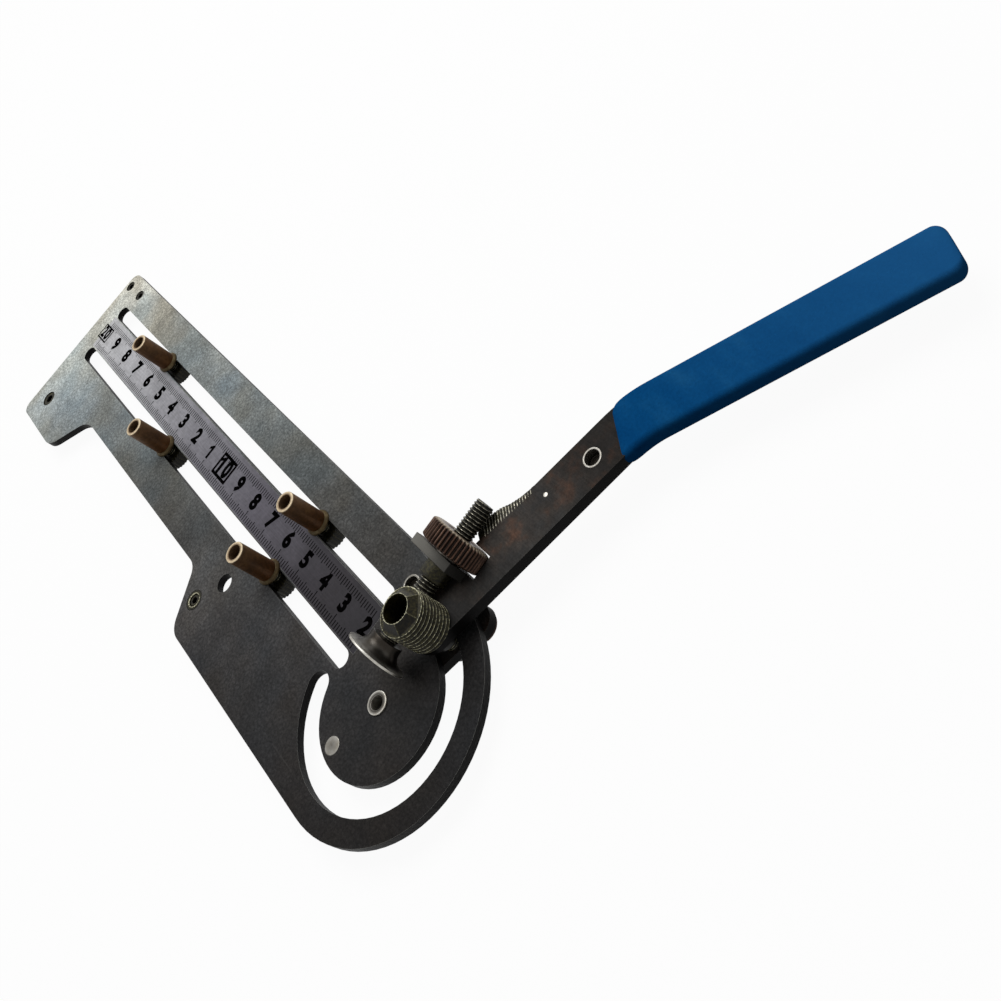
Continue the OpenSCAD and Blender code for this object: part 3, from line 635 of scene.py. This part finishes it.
def printedText(words, x, size, bold, stretch=1.0):
    # plain digits, upright towards the lever's side, as a thin mesh on the strip
    curve = bpy.data.curves.new("digit", "FONT")
    settings = {"body": words, "size": size * mm, "offset": bold * size * mm, "align_x": "CENTER",
                "align_y": "CENTER", "extrude": ruleMark["tickHeight"] / 2 * mm, "resolution_u": 4}
    for key, value in settings.items():
        setattr(curve, key, value)
    text = placed("digit", curve)
    bpy.context.view_layer.update()
    mesh = bpy.data.meshes.new_from_object(text.evaluated_get(bpy.context.evaluated_depsgraph_get()))
    bpy.data.objects.remove(text)
    points = np.empty(len(mesh.vertices) * 3)
    mesh.vertices.foreach_get("co", points)
    points = points.reshape(-1, 3) * np.array([-stretch, -1, 1])
    points += np.array([x, ruleMark["digitSide"], ruleMark["tickHeight"] / 2]) * mm
    mesh.vertices.foreach_set("co", points.ravel())
    return mesh


def oneMesh(x, size, wide):
    # the digit 1: a stem with a slanted flag at its top, as a thin prism
    flat = np.array([[wide, -0.36], [wide, 0.36], [-wide * 0.4, 0.36], [-0.25, 0.2], [-0.25, 0.06],
                     [-wide, 0.16], [-wide, -0.36]]) * size * [-1, -1] + [x, ruleMark["digitSide"]]
    count = len(flat)
    points = np.concatenate([np.column_stack([flat, np.full(count, z)])
                             for z in (-ruleMark["sunk"], ruleMark["tickHeight"])])
    k = np.arange(count)
    after = (k + 1) % count
    sides = np.stack([k, after, after + count, k + count], -1).tolist()
    return meshFrom("one", points, sides + [k[::-1].tolist(), (k + count).tolist()])


def frameMesh(x, width, height, line):
    # a rectangular outline: an outer and an inner loop, joined on top and down the sides
    box = np.array([[-1, -1], [1, -1], [1, 1], [-1, 1]]) / 2
    outer = box * [width, height]
    inner = box * [width - 2 * line, height - 2 * line]
    under, top = -ruleMark["sunk"], ruleMark["tickHeight"]
    loops = [(outer, under), (outer, top), (inner, top), (inner, under)]
    points = np.concatenate([np.column_stack([flat, np.full(4, z)]) for flat, z in loops])
    points += [x, ruleMark["digitSide"], 0]
    k = np.arange(4)
    after = (k + 1) % 4
    faces = np.concatenate([np.stack([k + 4 * a, after + 4 * a, after + 4 * b, k + 4 * b], -1)
                            for a, b in ((0, 1), (1, 2), (2, 3), (3, 0))])
    return meshFrom("frame", points, faces.tolist())


def joined(name, meshes, material):
    # several meshes as one piece of one material
    work = bmesh.new()
    for mesh in meshes:
        work.from_mesh(mesh)
    bmesh.ops.remove_doubles(work, verts=work.verts, dist=1e-7)
    whole = bpy.data.meshes.new(name)
    work.to_mesh(whole)
    work.free()
    whole.materials.clear()
    whole.materials.append(material)
    return placed(name, whole)


digitMeshes = []
for value in range(20, 201, 10):
    x = value + ruleMark["zero"]
    if value in boxedNumber:
        box, share = boxedNumber[value], boxShare
        tall, place = box["tall"], x + box["first"]
        if value == 100:
            digitMeshes.append(oneMesh(place, tall, share["one"]))
        else:
            digitMeshes.append(printedText("2", place, tall, share["two"], share["stretch"]))
        place = x - share["zeroSide"] * tall
        digitMeshes.append(printedText("0", place, tall, share["zero"], share["stretch"]))
        digitMeshes.append(frameMesh(x, share["wide"] * tall, share["high"] * tall, box["line"]))
    elif value // 10 % 10 == 1:
        digitMeshes.append(oneMesh(x, ruleMark["digit"], ruleMark["one"]))
    else:
        digitMeshes.append(printedText(str(value // 10 % 10), x, ruleMark["digit"], ruleMark["bold"]))
keep(ruleTicks(), "base", "dark_steel")
keep(joined("ruleDigits", digitMeshes, ink), "base", "dark_steel")
print("rule marked")


# posts
postSize = {"bore": 1.85, "collarGap": 0.12, "footEdge": 0.5, "threadPitch": 0.7, "threadDepth": 0.32,
            "threadColumns": 40, "knurls": 28, "knurlDepth": 0.22, "nutColumns": 224}
bore = postSize["bore"]
for k in (1, 2, 3, 4):
    body = f"post_{k}"
    bottom, top, centre, outer = roundOf(f"sleeve_{k}")
    there = standing(centre)
    profile = ringProfile(bore, outer, bottom, top, (0.05, 0.28, 0.12))
    radius, height = profile.T
    # painted shade deepens down the bore, and the top rim gets a painted highlight, partly wear
    boreShade = (radius < bore + 0.02) * np.clip((top - height) / 1.5, 0, 1) * 0.9
    rimHighlight = np.clip((height - top + 0.3) / 0.25, 0, 1) * np.clip((radius - outer + 0.75) / 0.3, 0.25, 1)
    sleeve = ringPiece(f"postSleeve{k}", profile, there, bronze, boreShade, rimHighlight)
    keep(sleeve, body, "bronze", f"sleeve_{k}")
    bottom, top, centre, wide = roundOf(f"foot_{k}")
    profile = rounded([(bore, bottom), (wide, bottom), (wide, bottom + postSize["footEdge"]),
                       (outer + postSize["collarGap"], top), (bore, top), (bore, bottom)],
                      [0, 0.1, 0.2, 0.1, 0, 0])[:-1]
    keep(ringPiece(f"postFoot{k}", profile, there, collarBronze), body, "bronze", f"foot_{k}")
    bottom, top, centre, wide = roundOf(f"stud_{k}")
    grid, wave = threaded(wide, postSize["threadDepth"], postSize["threadPitch"], bottom, top,
                          postSize["threadColumns"])
    stud = surface(f"postStud{k}", there(grid), threadSteel, True, True, shadeAndFilm=wave)
    keep(stud, body, "dark_steel", f"stud_{k}")
    bottom, top, centre, wide = roundOf(f"nut_{k}")
    profile = ringProfile(bore, wide, bottom, top, (0.5, 0.35, 0.1))
    # knurls: the outer wall dips between ribs by the clipped cosine of the angle
    closed = np.concatenate([profile, profile[:1]])
    angle = fullTurn(postSize["nutColumns"])
    dip = np.clip(0.6 - np.cos(angle * postSize["knurls"]), 0, 1) * (closed[:, :1] > wide - 0.6)
    grid = swept(closed[:, :1] - postSize["knurlDepth"] * dip, closed[:, 1:], angle)
    # the nut is dark, with painted shade in the dips between its ribs
    nut = surface(f"postNut{k}", there(grid), threadSteel, shadeAndFilm=0.62 + 0.35 * dip)
    weld(nut)
    keep(nut, body, "dark_steel", f"nut_{k}")
print("posts turned")


# rings, bushes and plugs
rivetSize = {"head": 0.9, "shank": 2.2, "flange": 2.6, "flangeTop": 0.5, "bore": 1.6, "floor": 1.6}
dowelSize = {"bore": 1.95, "rim": 0.12}
screwSize = {"chamfer": 0.25, "face": 0.4, "lip": 0.66, "lipInside": 0.6, "socket": 0.55, "deep": 1.15,
             "columns": 48}


def cupFrom(node, floor, name, body):
    # a dowel with a blind bore: outside, rounded rim, bore wall and floor
    bottom, top, centre, outer = roundOf(node)
    bore, rim = dowelSize["bore"], dowelSize["rim"]
    profile = rounded([(axisGap, bottom), (outer, bottom), (outer, top), (bore, top), (bore, floor),
                       (axisGap, floor)], [0, rim, rim, rim, rim, 0])
    radius, height = profile[:, :1], profile[:, 1:]
    inside = (radius < bore + 0.02) & (height > bottom + 0.3)
    # the flat between the two rims keeps a brown film
    film = np.clip(1.35 - np.abs(radius - (outer + bore) / 2) / (outer - bore) * 3.2, 0.02, 0.75)
    # painted shade deepens down the bore
    shade = np.where(inside, np.clip((top - 0.02 - height) / 0.25, 0, 1) * 0.95, film)
    keep(spun(name, profile, standing(centre), bright, shadeAndFilm=shade), body, "bright_steel", node)


def ringFrom(node, name, body, bore, face, rim=0.12, inside=0.85, seam=0.0, seamAt=99.0):
    # a plain ring with rounded rims, in the place of a CAD ring; face and inside are the darkness of its top
    # and of its bore, where painted shade deepens downwards, and past seamAt the top has the seam's darkness
    bottom, top, centre, outer = roundOf(node)
    profile = ringProfile(bore, outer, bottom, top, (rim, rim, rim))
    radius, height = profile.T
    shade = np.where(radius < bore + 0.02, np.clip((top - height) / 0.4, 0, 1) * inside,
                     np.where(radius > seamAt, seam, face))
    keep(ringPiece(name, profile, standing(centre), threadSteel, shadeAndFilm=shade), body, "dark_steel", node)


def pivotRivet():
    # a blind rivet: head below the plate, shank, flange on the plate, blind bore
    size = rivetSize
    low, high = boxOf("pivot_bush")
    bottom, wide = low[2], (high[0] - low[0]) / 2
    floor, upper = bottom + size["floor"], size["flangeTop"]
    profile = rounded([(axisGap, bottom), (wide, bottom), (wide, bottom + size["head"]),
                       (size["shank"], bottom + size["head"]), (size["shank"], 0.0), (size["flange"], 0.0),
                       (size["flange"], upper), (2.3, upper), (1.9, upper), (size["bore"], upper),
                       (size["bore"], floor), (axisGap, floor)],
                      [0, 0.2, 0.2, 0, 0, 0.05, 0.15, 0, 0, 0.1, 0.1, 0])
    radius, height = profile[:, :1], profile[:, 1:]
    # the flange's face carries a brown film inside its bright outer rim
    film = np.clip(1.9 - np.abs(radius - 1.95) / 0.25, 0, 0.9)
    # painted shade darkens the blind bore
    shade = np.where(radius < size["bore"] + 0.02, np.clip((0.4 - height) / 0.4, 0, 1) * 0.95, film)
    rivet = spun("pivotRivet", profile, standing((0, 0)), bright, shadeAndFilm=shade)
    keep(rivet, "base", "bright_steel", "pivot_bush")


def setScrew(node, name, faceShade):
    # a grub screw: round outside, a hexagon socket going down to a cone, its rim rounded; each ring has a
    # radius, a height and a darkness, and the darkness down the socket is painted shade
    size = screwSize
    bottom, top, centre, radius = roundOf(node)
    angle = fullTurn(size["columns"])
    hexagon = radius * hexagonBy(angle)
    rings = [(axisGap, bottom, 0.9), (radius, bottom, 0.9), (radius, top - size["chamfer"], 0.9),
             (radius - size["chamfer"], top - 0.02, 0.7), (radius - size["face"], top, faceShade),
             (size["lip"] * hexagon, top, faceShade + 0.15), (size["lipInside"] * hexagon, top - 0.04, 0.8),
             (size["socket"] * hexagon, top - 0.1, 0.8), (size["socket"] * hexagon, top - size["deep"], 1.0),
             (axisGap, top - size["deep"] - 0.05, 1.0)]
    grid = np.stack([swept(ring, height, angle) for ring, height, shade in rings])
    shade = np.array([ring[2] for ring in rings])[:, None]
    made = surface(name, standing(centre)(grid), threadSteel, shadeAndFilm=shade)
    weld(made)
    keep(made, "base", "dark_steel", node)


def roundPiece(node, name, body, slot, material, corners, rounds, columns=64, film=None):
    # a solid round piece from its (radius, height) corners, at the CAD piece's centre; a film gives
    # a radius, the darkness outside it and the darkness inside it
    profile = rounded(corners, rounds)
    shade = None if film is None else np.where(profile[:, :1] > film[0], film[1], film[2])
    keep(spun(name, profile, standing(roundOf(node)[2]), material, columns, shade), body, slot, node)


pivotRivet()
cupFrom("head_dowel", -1.6, "headDowel", "base")
cupFrom("dowel_ring", 3.1, "leverDowel", "lever")
ringFrom("thread_insert", "threadInsert", "base", bore=1.6, face=0.03, rim=0.3, inside=1.0, seam=0.8,
         seamAt=2.1)
# the darkness of each screw's face
screws = [("lobe_screw", "lobeScrew", 0.5), ("tab_screw", "tabScrew", 0.3),
          ("corner_screw_1", "cornerScrew1", 0.45), ("corner_screw_2", "cornerScrew2", 0.6)]
for node, name, faceShade in screws:
    setScrew(node, name, faceShade)
ringFrom("spacer", "leverSpacer", "lever", bore=1.95, face=0.85)
ringFrom("stud_nut", "studNut", "lever", bore=1.95, face=0.85)

# the plug's rim is brighter than its face
bottom, top = roundOf("disc_plug")[:2]
roundPiece("disc_plug", "discPlug", "base", "bright_steel", bright,
           [(axisGap, bottom), (2.0, bottom), (2.0, top), (axisGap, top)], [0, 0.05, 0.12, 0],
           film=(1.75, 0.45, 0.74))
bottom, top, centre, wide = roundOf("link_foot")
roundPiece("link_foot", "linkFoot", "lever", "dark_steel", footSteel,
           [(axisGap, bottom), (wide - 0.4, bottom), (wide, top - 1.0), (wide, top), (axisGap, top)],
           [0, 0.4, 0.3, 0.2, 0])
bottom, top = roundOf("lever_pin")[:2]
roundPiece("lever_pin", "leverPin", "lever", "bright_steel", bright,
           [(axisGap, bottom), (0.6, bottom), (0.6, top), (axisGap, top + 0.02)], [0, 0.05, 0.15, 0], 32)
print("rings and pins turned")


# the clamp rod's place, which the mandrel's flute follows too
rodLow, rodHigh = boxOf("clamp_rod")
rodX, rodZ = (rodLow[0] + rodHigh[0]) / 2, (rodLow[2] + rodHigh[2]) / 2
rodRadius = (rodHigh[0] - rodLow[0]) / 2
rodSize = {"pitch": 0.8, "depth": 0.34, "gap": 0.3, "ends": 0.6}

# mandrel and its stud
mandrelSize = {"radius": 5.5, "depth": 0.6, "pitch": 1.15, "noseHeight": 2.0, "bore": 3.1, "boreDepth": 5.5,
               "columns": 96, "edge": 0.02, "studPitch": 0.7, "studDepth": 0.3}


def mandrel():
    # the threaded mandrel with its six-sided nose: rings of the nose follow the thread's rows
    size = mandrelSize
    low, high = boxOf("mandrel")
    top = high[2]
    ringTop = top - size["noseHeight"]
    radius, bore = size["radius"], size["bore"]
    core, wave = threaded(radius, size["depth"], size["pitch"], low[2], ringTop, size["columns"], 10, 0.5)
    angle = fullTurn(size["columns"])
    hexagon = hexagonBy(angle)
    # radius, height and darkness of each ring of the nose, from the thread up and down into the bore: the
    # bright rings at the rims are painted highlights, and the darkness down the bore is painted shade
    rings = [(radius - size["depth"], ringTop - 0.05, 0.6), (radius - 0.1, ringTop + 0.02, 0.0),
             ((radius - 0.3) * hexagon, ringTop + 0.1, 0.4), ((bore + 0.45) * hexagon, top - 0.1, 0.45),
             (bore + 0.2, top, 0.03), (bore + 0.08, top, 0.03), (bore, top - 0.12, 0.4),
             (bore - 0.05, top - size["boreDepth"], 0.8), (axisGap, top - size["boreDepth"] - 0.01, 1.0)]
    nose = np.stack([swept(ring, height, angle) for ring, height, shade in rings])
    noseShade = np.repeat(np.array([ring[2] for ring in rings])[:, None], size["columns"], 1)
    # each facet has its own painted shade by the way it faces: the one that leans towards -x +y is the
    # darkest
    facet = (np.floor(angle / (math.pi / 3)) + 0.5) * math.pi / 3 + leverAngle
    noseShade[2:4] = 0.3 + 0.55 * (0.5 + 0.5 * np.cos(facet - math.radians(135)))
    # the six edges between the facets get a painted highlight, one column wide
    edges = np.abs((angle + math.pi / 6) % (math.pi / 3) - math.pi / 6) < size["edge"]
    noseShade[2:4, edges] = 0.03
    points = np.concatenate([core, nose])
    grid = onLever(points[..., 0], points[..., 1], points[..., 2])
    # the flute that clears the rod: no point goes past the rod's own clearance, met along each radius
    studLow, studHigh = boxOf("mandrel_stud")
    axis = (studLow + studHigh) / 2
    rise = np.clip((rodRadius + rodSize["gap"]) ** 2 - (grid[..., 2] - rodZ) ** 2, 0, None)
    limit = rodX - np.sqrt(rise) - axis[0]
    reach = np.where((rise > 0) & (grid[..., 0] > limit), limit / np.maximum(grid[..., 0], 1e-6), 1.0)
    grid[..., :2] *= reach[..., None]
    made = surface("mandrelScrew", standing(axis)(grid), threadSteel, capFirst=True,
                   shadeAndFilm=np.concatenate([wave, noseShade]), crease=24)
    weld(made)
    keep(made, "lever", "dark_steel", "mandrel")
    grid, wave = threaded((studHigh[0] - studLow[0]) / 2, size["studDepth"], size["studPitch"], studLow[2],
                          studHigh[2], 40)
    stud = surface("mandrelStud", standing(axis)(grid), threadSteel, True, True, shadeAndFilm=wave)
    keep(stud, "lever", "dark_steel", "mandrel_stud")


mandrel()
print("mandrel cut")


# clamp rod, pad, washer and thumb nut
padSize = {"rim": 0.5, "neck": 3.9, "flare": 0.75, "foot": 1.2, "columns": 96}
washerSize = {"bore": 2.45, "radius": 3.4}
thumbSize = {"ribs": 46, "ribDepth": 0.5, "perRib": 10, "bore": 2.45, "boss": 4.4, "dish": 4.2,
             "dishFoot": 3.8, "dishDepth": 0.25, "chamfer": 0.8, "edge": 0.4}


def alongRod(grid):
    # height along the rod becomes -y: (x, y, z) -> (rod x + x, -z, rod height + y)
    return np.stack([rodX + grid[..., 0], -grid[..., 2], rodZ + grid[..., 1]], -1)


def clampRod():
    # the rod's thread, from its end at the pad to its end past the ear
    grid, wave = threaded(rodRadius, rodSize["depth"], rodSize["pitch"], -rodHigh[1], -rodLow[1], 48, 8,
                          rodSize["ends"])
    made = surface("clampRod", alongRod(grid), rodSteel, True, True, shadeAndFilm=wave)
    weld(made)
    keep(made, "rod", "dark_steel", "clamp_rod")


def clampPad():
    # a thin disc whose back narrows to a neck: the flare is a quarter of an ellipse
    low, high = boxOf("clamp_pad")
    wide, long = (high[0] - low[0]) / 2, high[1] - low[1]
    rim, neck = padSize["rim"], padSize["neck"]
    turn = np.linspace(0, np.pi / 2, 14)
    flare = long * padSize["flare"] - rim
    curve = np.column_stack([wide - (wide - neck) * np.sin(turn), rim + flare * (1 - np.cos(turn))])
    front = rounded([(axisGap, 0), (wide, 0), (wide, rim)], [0, 0.12, 0])
    back = rounded([(neck, long - padSize["foot"]), (neck, long), (axisGap, long)], [0, 0.3, 0])
    profile = np.concatenate([front, curve, back])
    # painted shade: the neck is darkened, and so is the flare's lower half
    height = profile[:, 1:]
    under = np.clip(0.35 - np.sin(fullTurn(padSize["columns"])), 0, 1)[None]
    shade = np.clip((height - 0.42) / 0.5, 0, 1) * 0.84 + np.clip((height - 1.0) / 2.0, 0, 1) * 0.12
    shade = np.clip(shade + under * np.clip((height - 0.4) / 0.4, 0, 1) * 0.4, 0, 0.96)
    pad = spun("clampPad", profile - [0, high[1]], alongRod, bright, padSize["columns"], shade)
    keep(pad, "rod", "bright_steel", "clamp_pad")


def rodWasher():
    # the thin ring between the thumb nut and the ear
    low, high = boxOf("rod_washer")
    profile = ringProfile(washerSize["bore"], washerSize["radius"], -high[1], -low[1], (0.1, 0.1, 0.05))
    washer = ringPiece("rodWasher", profile, alongRod, bright, shadeAndFilm=np.full(len(profile), 0.85))
    keep(washer, "lever", "bright_steel", "rod_washer")


def thumbNut():
    # a ribbed nut with a dished back; ribs are a flattened cosine of the angle, 1 on a rib and
    # 0 between two
    size = thumbSize
    low, high = boxOf("thumb_nut")
    near, far = -high[1], -low[1]
    wide = (high[2] - low[2]) / 2
    angle = fullTurn(size["ribs"] * size["perRib"])
    rib = np.clip(0.5 + 0.9 * np.cos(angle * size["ribs"]), 0, 1)
    profile = rounded([(size["bore"], near), (size["boss"], near), (wide - size["chamfer"], near),
                       (wide, near + size["edge"]), (wide, far - size["edge"]), (wide - size["chamfer"], far),
                       (size["dish"], far), (size["dishFoot"], far - size["dishDepth"]),
                       (size["bore"], far - size["dishDepth"]), (size["bore"], near)],
                      [0, 0, 0.3, 0.3, 0.3, 0.3, 0.2, 0.2, 0.1, 0])
    radius, height = profile[:, :1], profile[:, 1:]
    edge = np.clip((radius - wide + 0.9) / 0.9, 0, 1)
    grid = swept(radius - size["ribDepth"] * (1 - rib) * edge, height, angle)
    # painted shade between the ribs, and a painted highlight, partly wear, on the far rim
    farRimHighlight = np.clip(1 - np.abs(height - far + 0.1) / 0.35, 0, 1) * (radius > wide - 1.6) * 0.8
    made = surface("thumbNut", alongRod(grid), nutBrass, shadeAndFilm=(1 - rib) * edge * 0.95, wearAndHighlight=farRimHighlight)
    weld(made)
    keep(made, "thumb", "brown_nut", "thumb_nut")


clampRod()
clampPad()
keep(roundedCopy("rod_bush", "rodBush", threadSteel, 0.2, 1, 0.5), "lever", "dark_steel", "rod_bush")
rodWasher()
thumbNut()
print("clamp made")


# dipped grip, in mm; angles in degrees
gripSize = {"shift": 1.7, "bendStart": 77.43, "bendRadius": 30.0, "bend": 20.3, "run": 71.63, "half": 6.75,
            "middle": 4.05, "thick": 2.45, "round": 1.5, "slant": 0.37, "leanFade": 9.0, "start": 0.4,
            "coat": 0.8, "film": 0.12, "swell": 0.9, "corner": 3.0, "flatten": 0.9, "columns": 72}


def gripPath(reach):
    # the bar's centre line: straight, then an arc of the bend's radius, then straight;
    # gives each station's point and its direction in radians
    size = gripSize
    bend = math.radians(size["bend"])
    past = reach - size["bendStart"]
    turn = np.clip(past / size["bendRadius"], 0, bend)
    before = np.minimum(past, 0)
    after = np.maximum(past - bend * size["bendRadius"], 0)
    x = size["bendStart"] + before + size["bendRadius"] * np.sin(turn) + after * math.cos(bend)
    y = size["shift"] - size["bendRadius"] * (1 - np.cos(turn)) - after * math.sin(bend)
    return x, y, -turn


def roundedBox(width, height, radius):
    # a rounded rectangle by angle: the corner circle's centre plus its radius along the angle,
    # with the columns shared out evenly over the four corners and the straight sides between
    quarter = np.linspace(0, np.pi / 2, gripSize["columns"] // 4)
    corner = np.stack([np.cos(quarter), np.sin(quarter)])
    across, up = [], []
    for a, b, swap in ((1, 1, 0), (-1, 1, 1), (-1, -1, 0), (1, -1, 1)):
        bend = corner[:, ::-1] if swap else corner
        across.append(a * (width - radius + radius * bend[0]))
        up.append(b * (height - radius + radius * bend[1]))
    return np.concatenate(across, -1), np.concatenate(up, -1)


def dippedGrip():
    # a rounded box carried along the bar's centre line: the coat swells at its slanted start, and
    # the end closes with a quarter of a circle
    size = gripSize
    gripEnd = size["bendStart"] + math.radians(size["bend"]) * size["bendRadius"] + size["run"]
    station = np.concatenate([np.linspace(0, 4, 14), np.linspace(4.6, 120, 150)])
    station = station[station < gripEnd - size["bendStart"] - 4.2][:, None]
    coat = size["film"] + (size["coat"] - size["film"]) * (1 - np.exp(-station / size["swell"]))
    lateral, up = roundedBox(size["half"] - size["coat"] + coat, size["thick"] - size["coat"] + coat,
                             size["round"])
    # stations near the start lean, and the lean dies away along the grip
    lean = lateral * size["slant"] * np.exp(-station / size["leanFade"])
    reach = size["bendStart"] + size["start"] + station + lean
    turn = np.linspace(0, math.pi / 2, 16)[:, None]
    slim = 1 - np.cos(turn)
    endLateral, endUp = roundedBox(size["half"] - size["corner"] * slim,
                                   size["thick"] - size["flatten"] * slim, size["round"])
    endReach = gripEnd - size["corner"] + size["corner"] * np.sin(turn) + 0 * endLateral
    reach = np.concatenate([reach, endReach])
    lateral, up = np.concatenate([lateral, endLateral]), np.concatenate([up, endUp])
    x, y, heading = gripPath(reach)
    grid = onLever(x - lateral * np.sin(heading), y + lateral * np.cos(heading), size["middle"] + up)
    made = surface("dippedGrip", grid, vinyl, capFirst=True, capLast=True, crease=40)
    weld(made)
    keep(made, "lever", "grip_vinyl", "lever_grip")


dippedGrip()
print("grip dipped")


# floor, light, camera
def seenDirectly(tree):
    # 1 for what a camera, a mirror or glass looks at, 0 for the light that falls on the object
    seen = 0.0
    for ray in ("Is Camera Ray", "Is Glossy Ray", "Is Transmission Ray"):
        seen = addNode(tree, "Math", {0: seen, 1: addNode(tree, "LightPath", out=ray)}, operation="MAXIMUM")
    return seen


def paleFloor():
    # pale matt floor: cameras and mirror-like surfaces see it almost white, its soft shadow stays
    material, tree = newMaterial("paleFloor")
    seen = seenDirectly(tree)
    shade = addNode(tree, "Mix", {0: seen, 6: "#7c7c7c", 7: "#f8f8f8"}, 2, data_type="RGBA")
    matt = addNode(tree, "BsdfDiffuse", {"Color": shade})
    glow = addNode(tree, "Emission", {"Color": "#ffffff", "Strength": 1.0})
    share = addNode(tree, "Math", {0: seen, 1: 0.95}, operation="MULTIPLY")
    addNode(tree, "OutputMaterial", {"Surface": addNode(tree, "MixShader", {0: share, 1: matt, 2: glow})})
    half, gap = 3000, 0.1
    drop = min(boxOf(name)[0][2] for name in nodes) - gap
    corners = [(a * half, b * half, drop) for a, b in ((-1, -1), (1, -1), (1, 1), (-1, 1))]
    mesh = meshFrom("paleFloor", corners, [(0, 1, 2, 3)])
    mesh.materials.append(material)
    placed("paleFloor", mesh)


def softWorld(strength):
    # even grey daylight for the object, plain white where a camera or a mirror looks past it
    world = bpy.data.worlds.new("softWorld")
    bpy.context.scene.world = world
    world.use_nodes = True
    tree = world.node_tree
    tree.nodes.clear()
    level = addNode(tree, "MapRange", {0: seenDirectly(tree), 3: strength, 4: 1.0})
    sky = addNode(tree, "Background", {"Color": "#ffffff", "Strength": level})
    addNode(tree, "OutputWorld", {"Surface": sky})


# places and the lamp's side in metres, lens and sensor in mm, shift as a share of the frame and
# turn in degrees
stageLight = {"daylight": 0.17, "lampAt": (0.35, -0.25, 0.75), "lampAim": (0.06, -0.03, 0), "lampSide": 0.6,
              "watts": 5.2}
photoView = {"lens": 45.8098, "sensor": 36, "shift": (-0.022304, -0.375), "nearest": 0.005,
             "at": (-0.201267, -0.059513, 0.220779), "turn": (44.30283, 33.34768, -134.11966)}


def overheadLamp():
    # a square lamp that looks at its target
    light = bpy.data.lights.new("overheadLamp", "AREA")
    light.shape = "SQUARE"
    light.size = stageLight["lampSide"]
    light.energy = stageLight["watts"]
    made = placed("overheadLamp", light)
    made.location = stageLight["lampAt"]
    gaze = Vector(stageLight["lampAim"]) - Vector(stageLight["lampAt"])
    made.rotation_euler = gaze.to_track_quat("-Z", "Y").to_euler()


def photoCamera():
    # the camera that took the photo, fitted to the rule, the slots and the plate's edges
    view = photoView
    data = bpy.data.cameras.new("photoCamera")
    data.lens = view["lens"]
    data.sensor_width = view["sensor"]
    data.shift_x, data.shift_y = view["shift"]
    data.clip_start = view["nearest"]
    camera = placed("photoCamera", data)
    camera.location = view["at"]
    camera.rotation_euler = [math.radians(angle) for angle in view["turn"]]
    bpy.context.scene.camera = camera


paleFloor()
softWorld(stageLight["daylight"])
overheadLamp()
photoCamera()
bpy.context.scene.view_settings.view_transform = "Standard"
print("stage ready")
